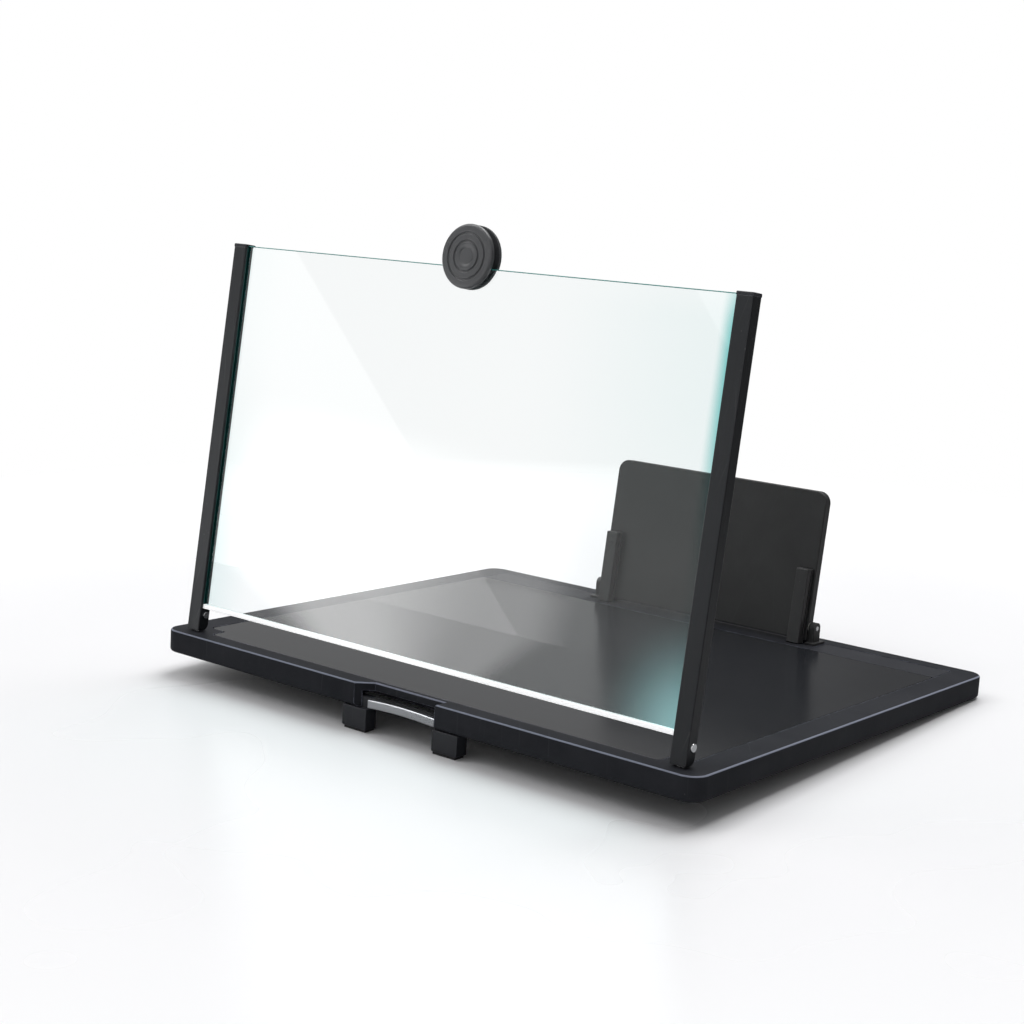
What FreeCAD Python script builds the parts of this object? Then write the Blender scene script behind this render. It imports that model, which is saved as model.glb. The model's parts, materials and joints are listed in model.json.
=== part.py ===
import FreeCAD, Part
import math
import os

V = FreeCAD.Vector

# Tabletop teleprompter.  Millimetres and degrees.
#
# Everything is drawn in the deck frame: X across (0 on the centre line), Y from
# the front edge backwards, Z up from the top of the base.  The pane and the
# phone rest lean back, so each is drawn upright in its own frame (x, n, s), with
# n behind its front plane and s up along the lean, and then leaned.  At the end
# the whole object is tipped back on to its feet, with the floor at z = 0.

# ---------------------------------------------------------------- base
base_w = 305.0
base_d = 249.0
base_t = 10.8
corner_r = 8.0
top_edge_r = 1.0
bottom_edge_r = 1.6
wall = 2.5
gap = 0.3                      # between separate pieces that do not touch
slip = 0.04                    # radial clearance of a turning pin

# glossy deck panel and the two rear cover strips, let into the top
side_margin = 14.0             # deck edge to the panel
inlay_front = 9.5
inlay_sink = 0.1
groove = 0.45
panel_t = 2.0
strip_t = 1.8
under_skin = 1.5               # deck left under the panel
strip_back_margin = 9.5
strip_w = 17.5
strip_to_rest = 7.0
inlay_corner_r = 2.0
strip_corner_r = 1.0
bay_beside_post = 6.7          # deck left clear of the panel round each post
bay_behind_post = 12.0
scoop_r = 24.0
scoop_depth = 1.2
scoop_side_margin = 6.0
scoop_inner_margin = 2.0
scoop_back_margin = 0.6

# bottom cover and what it closes in
cover_t = 1.8
cover_fit = 0.2
boss_r = 3.2
boss_root = 0.5                # bosses and ribs run this far into what they grow from
screw_r = 1.25
screw_hole_fit = 0.15
screw_length = 6.0
screw_slot = (3.0, 0.6, 0.5)
screw_side_margin = 14.5
screw_front = 40.0
screw_back_margin = 44.0
stand_screw_offset = 13.5      # from the stand's pin bosses
stand_screw_y = 34.0
stiffener_t = 1.0
stiffener_corner_r = 5.0
stiffener_side_margin = 42.5
stiffener_front = 62.0
stiffener_back_margin = 49.0
rib_x = 80.0
rib_w = 3.0
rib_end = 6.0
rear_pad_side_margin = 24.5
rear_pad_back_margin = 13.0
rear_pad_r = 7.0
rear_pad_t = 1.0

# ---------------------------------------------------------------- pane
pane_y = 6.0
pane_lean = 7.0
post_side_margin = 9.5
post_w = 7.8
post_back_wall = 1.2
post_length = 184.4
post_foot = 1.0
post_bridge = 1.0              # between the fork and the glass channel
post_heel_r = 3.0
post_edge_r = 0.5
cap_t = 1.5
cap_edge_r = 0.4
cap_slot_fit = 0.2
cap_cover = 0.7                # cap above the glass
glass_t = 2.6
glass_n = 1.8
glass_bite = 3.0               # how far each post's groove covers the glass
liner_t = 0.5
glass_chamfer = 0.3
guard_h = 2.1
guard_t = 0.7
guard_edge_r = 0.3
guard_to_post = 0.2

# friction hinge at each post's foot
pane_pin_s = 8.4
pane_pin_n = 3.6
pane_pin_r = 1.1
lug_t = 3.0
lug_wall = 1.2                 # steel round the pin
fork_clear = 0.2
washer_t = 0.46
washer_gap = 0.02
pin_head_lip = 0.8
pin_rivet_lip = 0.5
pin_head_t = 0.6
pin_head_edge_r = 0.35
lug_plate_t = 1.2
lug_screw_r = 0.9
lug_screw_length = 3.4
lug_screw_inset = 6.4
lug_screw_pitch = 6.4
lug_flange_d = 12.0
lug_flange_end = 2.6           # beyond the screws
lug_flange_r = 1.5
screw_head_ratio = 1.9         # pan head radius to shank radius

# clamp on the pane's top edge
disc_r = 13.8
disc_above_glass = 4.3
front_disc_t = 2.4
rear_disc_t = 1.5
disc_edge_r = 0.9
rear_disc_edge_r = 0.6
pad_t = 0.4
pad_inset = 1.5
spacer_inset = 3.0
clamp_screw_r = 1.5
clamp_screw_cover = 0.9        # front disc left over the screw's end
clamp_screw_recess = 0.3
clamp_play = 0.05              # front disc to spacer and pad
face_grooves = [(3.9, 0.9, 0.5), (7.3, 0.8, 0.5), (10.1, 0.5, 0.2)]   # inside rim, width, depth

# ---------------------------------------------------------------- phone rest
rest_back_margin = 23.0        # back edge to the front of the bars
rest_lean = 7.0
plate_half = 63.5
plate_bottom = 2.2
plate_top = 77.0
plate_t = 5.0
plate_corner_r = 6.0
plate_edge_r = 0.6
bar_inset = 1.5
bar_w = 7.0
bar_d = 5.0
bar_top = 38.0
bar_foot = 0.6
bar_groove_depth = 0.9
bar_groove = (2.9, 3.8)
bar_groove_foot = 4.0
bar_edge_r = 0.6
bar_screw_r = 1.0
bar_screw_s = (17.0, 31.0)
bar_screw_cover = 2.2          # bar left in front of each screw hole
bar_screw_slot = (2.4, 0.5, 0.4)
screw_tip_gap = 0.2
fold_clear = 0.52              # bars above the deck when the rest lies flat
rest_pin_r = 1.2
rest_pin_length = 11.4
rest_lug_t = 3.6
rest_lug_wall = 1.6
rest_pin_end_gap = 0.2
rest_washer_t = 0.5
rest_washer_inset = 0.4
rest_foot_t = 1.2
rest_foot_d = 10.0
rest_foot_to_strip = 1.0
rest_screw_r = 1.1
rest_screw_length = 8.4
swing_clear = 0.5
swing_corner_r = 0.8
tub_wall = 1.2

# ---------------------------------------------------------------- front stand
leg_outer = 33.2
leg_w = 14.0
stand_lug_w = 5.7
notch_beside_leg = 0.8
notch_d = 6.2
stand_pin_r = 1.0
stand_lug_r = 2.0
lug_to_notch = 0.7
stand_back = 1.7               # leg and web behind the pin
stand_drop = 9.5               # legs below the base
leg_taper = 0.5
web_below_pin = 0.6
web_t = 3.6
web_lap = 0.5                  # web into each leg
bar_set_back = 0.8
bar_t = 1.2
bar_arch = 0.7
bar_below_web_top = 0.5
bar_below_web = 0.6
bar_to_leg = 0.1
bar_edge = 0.4
tip_height = 1.2
tip_inset = 0.5
boss_w = 5.0
boss_back = 4.4                # behind the stand's pins
boss_skin = 1.0                # boss left beyond each pin's end
lug_bore_skin = 0.6            # leg left inboard of each pin's bore
bay_end_clear = 2.0

# ---------------------------------------------------------------- derived
top_skin = panel_t + inlay_sink + under_skin
cavity_top = -top_skin
cover_top = -base_t + cover_t
side_x = base_w / 2 - side_margin
strip_back = base_d - strip_back_margin
strip_front = strip_back - strip_w
strip_inner = plate_half + strip_to_rest
stiffener_x = base_w / 2 - stiffener_side_margin
stiffener_y = (stiffener_front, base_d - stiffener_back_margin)
rear_pad_x = base_w / 2 - rear_pad_side_margin
rear_pad_y = base_d - rear_pad_back_margin

post_outer = base_w / 2 - post_side_margin
post_inner = post_outer - post_w
post_x = post_outer - post_w / 2
glass_half = post_inner + glass_bite
glass_back = glass_n + glass_t
post_d = glass_back + liner_t + post_back_wall
lug_r = pane_pin_r + lug_wall
washer_r = lug_r - gap
glass_bottom = pane_pin_s + lug_r + fork_clear + post_bridge + liner_t
glass_top = post_length - cap_cover
disc_s = glass_top + disc_above_glass
front_disc_back = glass_n - pad_t
front_disc_face = front_disc_back - front_disc_t
rear_disc_face = glass_back + pad_t
rear_disc_back = rear_disc_face + rear_disc_t

rest_y = base_d - rest_back_margin
bar_outer = plate_half - bar_inset
plate_n = bar_d
rest_pin_n = plate_n + plate_t / 2
rest_tan = math.tan(math.radians(rest_lean))
rest_pin_s = (rest_pin_n + fold_clear) / math.cos(math.radians(rest_lean)) + rest_pin_n * rest_tan
rest_lug_r = rest_pin_r + rest_lug_wall
rest_lug_inner = plate_half + rest_washer_t + 2 * washer_gap
rest_lug_x = rest_lug_inner + rest_lug_t / 2

stand_pin_y = wall + gap + stand_lug_r
stand_pin_z = cavity_top - stand_lug_r
leg_inner = leg_outer - leg_w
notch_right = leg_inner + notch_beside_leg
notch_left = -notch_right
notch_left_front = -(leg_outer - stand_lug_w - lug_to_notch)
stand_rear = stand_pin_y + stand_back
web_top = stand_pin_z - web_below_pin
leg_bottom = -base_t - stand_drop
tip_z = leg_bottom - tip_height
tip_y = stand_rear / 2
pad_z = -base_t - rear_pad_t
stand_bay_back = stand_pin_y + stand_pin_z - tip_z + bay_end_clear
bay_outer = leg_outer + gap
screw_x = base_w / 2 - screw_side_margin
screw_back = base_d - screw_back_margin
screw_spots = [(screw_x, screw_front), (screw_x, (screw_front + screw_back) / 2), (screw_x, screw_back),
               (bay_outer + boss_w + stand_screw_offset, stand_screw_y)]
tilt = math.degrees(math.atan2(pad_z - tip_z, rear_pad_y - tip_y))


def box(x0, x1, y0, y1, z0, z1):
    return Part.makeBox(x1 - x0, y1 - y0, z1 - z0, V(x0, y0, z0))


def mirror(shape):
    return shape.mirror(V(0, 0, 0), V(1, 0, 0))


def rod_x(r, x0, x1, y, z):
    return Part.makeCylinder(r, x1 - x0, V(x0, y, z), V(1, 0, 0))


def rod_n(r, x, n0, n1, s):
    return Part.makeCylinder(r, n1 - n0, V(x, n0, s), V(0, 1, 0))


def rod_z(r, x, y, z0, z1):
    return Part.makeCylinder(r, z1 - z0, V(x, y, z0), V(0, 0, 1))


def outline(points, z0, z1):
    loop = [V(x, y, z0) for x, y in points]
    return Part.Face(Part.makePolygon(loop + loop[:1])).extrude(V(0, 0, z1 - z0))


def round_upright(shape, r):
    edges = [e for e in shape.Edges
             if abs(e.Vertexes[0].X - e.Vertexes[-1].X) < 1e-6
             and abs(e.Vertexes[0].Y - e.Vertexes[-1].Y) < 1e-6
             and abs(e.Vertexes[0].Z - e.Vertexes[-1].Z) > 1e-6]
    return shape.makeFillet(r, edges)


def edges_where(shape, test):
    return [e for e in shape.Edges if test(e)]


def lies_at(edge, axis, value):
    return all(abs(getattr(v, axis) - value) < 1e-6 for v in edge.Vertexes)


def lean_back(shape, y, angle):
    leaned = shape.copy()
    leaned.rotate(V(0, 0, 0), V(1, 0, 0), -angle)
    leaned.translate(V(0, y, 0))
    return leaned


def on_pane(shape):
    return lean_back(shape, pane_y, pane_lean)


def on_rest(shape):
    return lean_back(shape, rest_y, rest_lean)


def leaned_point(n, s, y, angle):
    a = math.radians(angle)
    return y + s * math.sin(a) + n * math.cos(a), s * math.cos(a) - n * math.sin(a)


pane_axis_y, pane_axis_z = leaned_point(pane_pin_n, pane_pin_s, pane_y, pane_lean)
rest_axis_y, rest_axis_z = leaned_point(rest_pin_n, rest_pin_s, rest_y, rest_lean)


def floor_block():
    """Everything below the floor the object stands on."""
    block = box(-base_w, base_w, -base_d, 2 * base_d, -40, 0)
    block.rotate(V(0, 0, 0), V(1, 0, 0), tilt)
    block.translate(V(0, tip_y, tip_z))
    return block


# ---------------------------------------------------------------- base pieces
def inlay_region(edge_gap, top, bottom):
    """The deck panel's outline with the two post corners cut away."""
    outer_x = side_x + edge_gap
    front = inlay_front - edge_gap
    back = strip_front - groove + edge_gap
    bay_x = post_inner - bay_beside_post + edge_gap
    bay_y = pane_y + bay_behind_post - edge_gap
    points = [(-bay_x, front), (bay_x, front), (bay_x, bay_y), (outer_x, bay_y),
              (outer_x, back), (-outer_x, back), (-outer_x, bay_y), (-bay_x, bay_y)]
    return round_upright(outline(points, bottom, top), inlay_corner_r)


def strip_region(edge_gap, top, bottom):
    region = box(strip_inner - edge_gap, side_x + edge_gap, strip_front - edge_gap,
                 strip_back + edge_gap, bottom, top)
    return round_upright(region, strip_corner_r)


def notch_cut():
    slant = notch_left - notch_left_front
    return outline([(notch_left_front - slant, -notch_d), (notch_right, -notch_d),
                    (notch_right, notch_d), (notch_left, notch_d)], -base_t - 1, 1)


def stand_bay():
    return box(-bay_outer, bay_outer, wall, stand_bay_back, -base_t - 1, cavity_top)


def stand_bosses():
    bosses = []
    for sign in (-1, 1):
        x0, x1 = sorted((sign * bay_outer, sign * (bay_outer + boss_w)))
        bosses.append(box(x0, x1, wall - boss_root, stand_pin_y + boss_back,
                          cover_top, cavity_top + boss_root))
    return bosses


def pane_lug_spots():
    return [sign * post_x for sign in (-1, 1)]


def lug_screw_points(x):
    inboard = x - math.copysign(lug_screw_inset, x)
    return [(inboard, pane_axis_y - lug_screw_pitch / 2), (inboard, pane_axis_y + lug_screw_pitch / 2)]


def swing_pocket():
    """Room under the deck's surface for the rest bars' feet as the rest folds."""
    reach = math.hypot(rest_pin_n, rest_pin_s - bar_foot)
    depth = reach - rest_axis_z + swing_clear
    half = math.sqrt(reach ** 2 - rest_axis_z ** 2) + swing_clear
    x0, x1 = bar_outer - bar_w - swing_clear, bar_outer + swing_clear
    pocket = box(x0, x1, rest_axis_y - half, rest_axis_y + half, -depth, 1)
    return round_upright(pocket, swing_corner_r), depth


def deck_frame():
    shell = box(-base_w / 2, base_w / 2, 0, base_d, -base_t, 0)
    shell = round_upright(shell, corner_r)
    shell = shell.cut(notch_cut())
    shell = shell.makeFillet(top_edge_r, edges_where(shell, lambda e: lies_at(e, "Z", 0)))
    outer_bottom = edges_where(shell, lambda e: lies_at(e, "Z", -base_t)
                               and (abs(e.CenterOfMass.x) > bay_outer + boss_w
                                    or e.CenterOfMass.y > notch_d + 1))
    shell = shell.makeFillet(bottom_edge_r, outer_bottom)
    cavity = box(-base_w / 2 + wall, base_w / 2 - wall, wall, base_d - wall, -base_t - 1, cavity_top)
    cavity = round_upright(cavity, corner_r - wall)
    shell = shell.cut(cavity)
    bosses = stand_bosses()
    for x, y in screw_spots:
        bosses += [rod_z(boss_r, sign * x, y, cover_top, cavity_top + boss_root) for sign in (-1, 1)]
    pocket, depth = swing_pocket()
    pocket_box = pocket.BoundBox
    tub = box(pocket_box.XMin - tub_wall, pocket_box.XMax + tub_wall, pocket_box.YMin - tub_wall,
              pocket_box.YMax + tub_wall, -depth - tub_wall, cavity_top + boss_root)
    shell = shell.fuse(bosses + [tub, mirror(tub)]).removeSplitter()
    cuts = [inlay_region(groove, 1, -panel_t - inlay_sink), stand_bay(), pocket, mirror(pocket)]
    strip = strip_region(groove, 1, -strip_t - inlay_sink)
    cuts += [strip, mirror(strip)]
    for x in pane_lug_spots():
        cuts.append(box(x - lug_t / 2 - gap, x + lug_t / 2 + gap, pane_axis_y - lug_r - gap,
                        pane_axis_y + lug_r + gap, -top_skin - 1, 1))
        cuts += [rod_z(lug_screw_r, px, py, cavity_top, cavity_top + lug_screw_length - lug_plate_t)
                 for px, py in lug_screw_points(x)]
    for x, y in screw_spots:
        cuts += [rod_z(screw_r, sign * x, y, cover_top - 1, cover_top + screw_length - cover_t)
                 for sign in (-1, 1)]
    for sign in (-1, 1):
        x0, x1 = sorted((sign * bay_outer, sign * (bay_outer + boss_w - boss_skin)))
        cuts.append(rod_x(stand_pin_r, x0, x1, stand_pin_y, stand_pin_z))
        cuts.append(rod_z(rest_screw_r, sign * rest_lug_x, rest_axis_y, cavity_top - 1, 1))
    return shell.cut(cuts)


def deck_panel():
    panel = inlay_region(0, -inlay_sink, -inlay_sink - panel_t)
    half = math.sqrt(scoop_r ** 2 - (scoop_r - scoop_depth) ** 2)
    x0 = -side_x + scoop_side_margin + half
    x1 = -strip_inner - scoop_inner_margin - half
    y = strip_front - groove - scoop_back_margin - half
    z = scoop_r - scoop_depth - inlay_sink
    roller = rod_x(scoop_r, x0, x1, y, z)
    ends = [Part.makeSphere(scoop_r, V(x, y, z)) for x in (x0, x1)]
    return panel.cut([roller] + ends)


def rear_strip():
    return strip_region(0, -inlay_sink, -inlay_sink - strip_t)


def bottom_cover():
    inset = wall + cover_fit
    cover = box(-base_w / 2 + inset, base_w / 2 - inset, inset, base_d - inset, -base_t, cover_top)
    cover = round_upright(cover, corner_r - inset)
    ribs = [box(x - rib_w / 2, x + rib_w / 2, stiffener_y[0] + rib_end, stiffener_y[1] - rib_end,
                cover_top - boss_root, cavity_top - stiffener_t) for x in (-rib_x, 0, rib_x)]
    cover = cover.fuse(ribs).removeSplitter()
    opening = box(-bay_outer - boss_w - gap, bay_outer + boss_w + gap, 0, stand_bay_back + gap,
                  -base_t - 1, cover_top + 1)
    cuts = [opening]
    hole_r = screw_r + screw_hole_fit
    for x, y in screw_spots:
        for sign in (-1, 1):
            cuts.append(rod_z(hole_r, sign * x, y, -base_t - 1, cover_top + 1))
            cuts.append(Part.makeCone(screw_r + hole_r, hole_r, screw_r,
                                      V(sign * x, y, -base_t), V(0, 0, 1)))
    return cover.cut(cuts)


def case_screws():
    screws = []
    length, width, depth = screw_slot
    for x, y in screw_spots:
        for sign in (-1, 1):
            head = Part.makeCone(2 * screw_r, screw_r, screw_r, V(sign * x, y, -base_t), V(0, 0, 1))
            shank = rod_z(screw_r, sign * x, y, -base_t + screw_r, -base_t + screw_length)
            slot = box(sign * x - length / 2, sign * x + length / 2, y - width / 2, y + width / 2,
                       -base_t - 1, -base_t + depth)
            screws.append(head.fuse(shank).removeSplitter().cut(slot))
    return screws


def stiffener():
    sheet = box(-stiffener_x, stiffener_x, stiffener_y[0], stiffener_y[1],
                cavity_top - stiffener_t, cavity_top)
    return round_upright(sheet, stiffener_corner_r)


def rear_pads():
    pads = []
    for sign in (-1, 1):
        pad = rod_z(rear_pad_r, sign * rear_pad_x, rear_pad_y, -base_t - 4, -base_t)
        pads.append(pad.cut(floor_block()))
    return pads


# ---------------------------------------------------------------- pane pieces
def pane_lug(x):
    """Steel bracket: a tongue through the deck with a flange screwed under it."""
    tongue = box(x - lug_t / 2, x + lug_t / 2, pane_axis_y - lug_r, pane_axis_y + lug_r,
                 cavity_top - lug_plate_t, pane_axis_z)
    tongue = tongue.fuse(rod_x(lug_r, x - lug_t / 2, x + lug_t / 2, pane_axis_y, pane_axis_z))
    inward = math.copysign(1, x)
    x0, x1 = sorted((x - inward * (lug_screw_inset + lug_flange_end), x + inward * lug_t / 2))
    flange = box(x0, x1, pane_axis_y - lug_flange_d / 2, pane_axis_y + lug_flange_d / 2,
                 cavity_top - lug_plate_t, cavity_top)
    lug = tongue.fuse(round_upright(flange, lug_flange_r)).removeSplitter()
    cuts = [rod_x(pane_pin_r + slip, x - lug_t, x + lug_t, pane_axis_y, pane_axis_z)]
    cuts += [rod_z(lug_screw_r, px, py, cavity_top - 3, cavity_top + 1)
             for px, py in lug_screw_points(x)]
    return lug.cut(cuts)


def pane_lug_screws():
    screws = []
    for x in pane_lug_spots():
        for px, py in lug_screw_points(x):
            z0 = cavity_top - lug_plate_t
            head = rod_z(lug_screw_r * screw_head_ratio, px, py, z0 - lug_screw_r, z0)
            screws.append(head.fuse(rod_z(lug_screw_r, px, py, z0, z0 + lug_screw_length)))
    return [s.removeSplitter() for s in screws]


def post():
    """Right-hand post: a channel for the glass above, a fork for the hinge below."""
    bar = box(post_inner, post_outer, 0, post_d, post_foot, post_length - cap_t)
    heel = edges_where(bar, lambda e: lies_at(e, "Z", post_foot) and lies_at(e, "Y", post_d))
    bar = bar.makeFillet(post_heel_r, heel)
    corners = edges_where(bar, lambda e: len(e.Vertexes) == 2
                          and abs(e.Vertexes[0].Z - e.Vertexes[1].Z) > 100)
    bar = bar.makeFillet(post_edge_r, corners)
    channel = box(post_inner - 1, glass_half + liner_t, glass_n - liner_t, glass_back + liner_t,
                  glass_bottom - liner_t, post_length)
    fork_half = lug_t / 2 + washer_t + 2 * washer_gap
    front_wall = pane_pin_n - lug_r - fork_clear
    fork = box(post_x - fork_half, post_x + fork_half, front_wall, post_d + 1, 0,
               pane_pin_s + lug_r + fork_clear)
    bore = rod_x(pane_pin_r, post_inner - 1, post_outer + 1, pane_pin_n, pane_pin_s)
    return bar.cut([channel, fork, bore])


def post_cap():
    """Cap with a blind slot over the glass's top corner."""
    cap = box(post_inner, post_outer, 0, post_d, post_length - cap_t, post_length)
    top = edges_where(cap, lambda e: lies_at(e, "Z", post_length))
    slot = box(post_inner - 1, glass_half + cap_slot_fit, glass_n - cap_slot_fit,
               glass_back + cap_slot_fit, post_length - cap_t - 1, glass_top + cap_slot_fit)
    return cap.makeFillet(cap_edge_r, top).cut(slot)


def glass_pane():
    sheet = box(-glass_half, glass_half, glass_n, glass_back, glass_bottom, glass_top)
    return sheet.makeChamfer(glass_chamfer, edges_where(sheet, lambda e: e.Length > 100))


def glazing_strip():
    sleeve = box(post_inner + 0.1, glass_half + liner_t, glass_n - liner_t, glass_back + liner_t,
                 glass_bottom - liner_t, post_length - cap_t)
    inside = box(post_inner - 1, glass_half, glass_n, glass_back, glass_bottom, post_length)
    return sleeve.cut(inside)


def edge_guard():
    """Bright strip pushed over the glass's free bottom edge."""
    half = post_inner - guard_to_post
    strip = box(-half, half, glass_n - guard_t, glass_back + guard_t,
                glass_bottom - guard_t, glass_bottom - guard_t + guard_h)
    long_edges = edges_where(strip, lambda e: e.Length > 100)
    strip = strip.makeFillet(guard_edge_r, long_edges)
    return strip.cut(box(-half - 1, half + 1, glass_n, glass_back, glass_bottom, glass_top))


def pane_pin():
    """Right-hand rivet: head outside the post, turned-over end inside it."""
    pin = rod_x(pane_pin_r, post_inner, post_outer, pane_pin_n, pane_pin_s)
    head_r = pane_pin_r + pin_head_lip
    outer = rod_x(head_r, post_outer, post_outer + pin_head_t, pane_pin_n, pane_pin_s)
    rim = edges_where(outer, lambda e: lies_at(e, "X", post_outer + pin_head_t) and e.Length > 2 * head_r)
    outer = outer.makeFillet(pin_head_edge_r, rim)
    inner = rod_x(pane_pin_r + pin_rivet_lip, post_inner - pin_head_t, post_inner, pane_pin_n, pane_pin_s)
    return pin.fuse([outer, inner]).removeSplitter()


def pane_washers():
    washers = []
    for side in (-1, 1):
        x0 = post_x + side * (lug_t / 2 + washer_gap)
        x1 = x0 + side * washer_t
        ring = rod_x(washer_r, min(x0, x1), max(x0, x1), pane_pin_n, pane_pin_s)
        washers.append(ring.cut(rod_x(pane_pin_r + slip, min(x0, x1) - 1, max(x0, x1) + 1,
                                      pane_pin_n, pane_pin_s)))
    return washers


def clamp_front_disc():
    disc = rod_n(disc_r, 0, front_disc_face, front_disc_back - clamp_play, disc_s)
    rim = edges_where(disc, lambda e: lies_at(e, "Y", front_disc_face) and e.Length > disc_r)
    disc = disc.makeFillet(disc_edge_r, rim)
    cuts = []
    for inset, width, depth in face_grooves:
        r = disc_r - inset
        ring = rod_n(r + width / 2, 0, front_disc_face - 1, front_disc_face + depth, disc_s)
        cuts.append(ring.cut(rod_n(r - width / 2, 0, front_disc_face - 2, front_disc_face + 2, disc_s)))
    cuts.append(rod_n(clamp_screw_r, 0, front_disc_face + clamp_screw_cover, front_disc_back + 1, disc_s))
    return disc.cut(cuts)


def clamp_rear_disc():
    disc = rod_n(disc_r, 0, rear_disc_face, rear_disc_back, disc_s)
    rim = edges_where(disc, lambda e: lies_at(e, "Y", rear_disc_back) and e.Length > disc_r)
    disc = disc.makeFillet(rear_disc_edge_r, rim)
    return disc.cut(rod_n(clamp_screw_r + slip, 0, rear_disc_face - 1, rear_disc_back + 1, disc_s))


def clamp_spacer():
    """Half-round block above the glass, as thick as the glass and its two pads."""
    block = rod_n(disc_r - spacer_inset, 0, front_disc_back, rear_disc_face, disc_s)
    block = block.cut(box(-50, 50, -50, 50, 0, glass_top + cap_slot_fit))
    return block.cut(rod_n(clamp_screw_r + slip, 0, -50, 50, disc_s))


def clamp_pads():
    pads = []
    for n0 in (front_disc_back, glass_back):
        pad = rod_n(disc_r - pad_inset, 0, n0, n0 + pad_t, disc_s)
        pads.append(pad.cut(box(-50, 50, -50, 50, glass_top, 300)))
    return pads


def clamp_screw():
    return rod_n(clamp_screw_r, 0, front_disc_face + clamp_screw_cover,
                 rear_disc_back - clamp_screw_recess, disc_s)


# ---------------------------------------------------------------- phone rest pieces
def rest_plate():
    plate = box(-plate_half, plate_half, plate_n, plate_n + plate_t, plate_bottom, plate_top)
    across = edges_where(plate, lambda e: abs(e.Length - plate_t) < 1e-6)
    upper = [e for e in across if e.CenterOfMass.z > plate_top - 1]
    plate = plate.makeFillet(plate_corner_r, upper)
    rims = edges_where(plate, lambda e: lies_at(e, "Y", plate_n) or lies_at(e, "Y", plate_n + plate_t))
    plate = plate.makeFillet(plate_edge_r, rims)
    cuts = []
    bore_depth = rest_pin_length - rest_lug_t - rest_washer_t + rest_pin_end_gap
    for sign in (-1, 1):
        x0, x1 = sorted((sign * (plate_half - bore_depth), sign * (plate_half + 1)))
        cuts.append(rod_x(rest_pin_r + slip, x0, x1, rest_pin_n, rest_pin_s))
        for s in bar_screw_s:
            x = sign * (bar_outer - bar_w / 2)
            cuts.append(rod_n(bar_screw_r, x, plate_n - 1, plate_n + plate_t + 1, s))
            cuts.append(Part.makeCone(bar_screw_r, 2 * bar_screw_r, bar_screw_r,
                                      V(x, plate_n + plate_t - bar_screw_r, s), V(0, 1, 0)))
    return plate.cut(cuts)


def rest_bar():
    """Right-hand upright bar that a phone leans on, grooved along both flanks."""
    x0, x1 = bar_outer - bar_w, bar_outer
    bar = box(x0, x1, 0, bar_d, bar_foot, bar_top)
    front = edges_where(bar, lambda e: lies_at(e, "Y", 0))
    bar = bar.makeFillet(bar_edge_r, front)
    n0, n1 = bar_groove
    s0 = bar_foot + bar_groove_foot
    cuts = [box(x0 - 1, x0 + bar_groove_depth, n0, n1, s0, bar_top + 1),
            box(x1 - bar_groove_depth, x1 + 1, n0, n1, s0, bar_top + 1)]
    cuts += [rod_n(bar_screw_r, (x0 + x1) / 2, bar_screw_cover, bar_d + 1, s) for s in bar_screw_s]
    return bar.cut(cuts)


def rest_bar_screws():
    screws = []
    length, width, depth = bar_screw_slot
    back = plate_n + plate_t
    for sign in (-1, 1):
        for s in bar_screw_s:
            x = sign * (bar_outer - bar_w / 2)
            head = Part.makeCone(bar_screw_r, 2 * bar_screw_r, bar_screw_r,
                                 V(x, back - bar_screw_r, s), V(0, 1, 0))
            shank = rod_n(bar_screw_r, x, bar_screw_cover + screw_tip_gap, back - bar_screw_r, s)
            slot = box(x - length / 2, x + length / 2, back - depth, back + 1,
                       s - width / 2, s + width / 2)
            screws.append(head.fuse(shank).removeSplitter().cut(slot))
    return screws


def rest_lug():
    """Right-hand lug beside the plate, standing on the deck."""
    x0, x1 = rest_lug_inner, rest_lug_inner + rest_lug_t
    upright = box(x0, x1, rest_axis_y - rest_lug_r, rest_axis_y + rest_lug_r, 0, rest_axis_z)
    upright = upright.fuse(rod_x(rest_lug_r, x0, x1, rest_axis_y, rest_axis_z))
    flange = box(x0, strip_inner - rest_foot_to_strip, rest_axis_y - rest_foot_d / 2,
                 rest_axis_y + rest_foot_d / 2, 0, rest_foot_t)
    lug = upright.fuse(flange).removeSplitter()
    return lug.cut([rod_x(rest_pin_r, x0 - 1, x1 + 1, rest_axis_y, rest_axis_z),
                    rod_z(rest_screw_r, rest_lug_x, rest_axis_y, -1, rest_screw_length + cavity_top)])


def rest_lug_screws():
    screws = []
    for sign in (-1, 1):
        x = sign * rest_lug_x
        head = rod_z(rest_screw_r * screw_head_ratio, x, rest_axis_y, cavity_top - rest_screw_r, cavity_top)
        shank = rod_z(rest_screw_r, x, rest_axis_y, cavity_top, cavity_top + rest_screw_length)
        screws.append(head.fuse(shank).removeSplitter())
    return screws


def rest_pin():
    x1 = rest_lug_inner + rest_lug_t
    return rod_x(rest_pin_r, x1 - rest_pin_length, x1, rest_axis_y, rest_axis_z)


def rest_washer():
    x0 = plate_half + washer_gap
    ring = rod_x(rest_lug_r - rest_washer_inset, x0, x0 + rest_washer_t, rest_axis_y, rest_axis_z)
    return ring.cut(rod_x(rest_pin_r, x0 - 1, x0 + 2, rest_axis_y, rest_axis_z))


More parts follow.
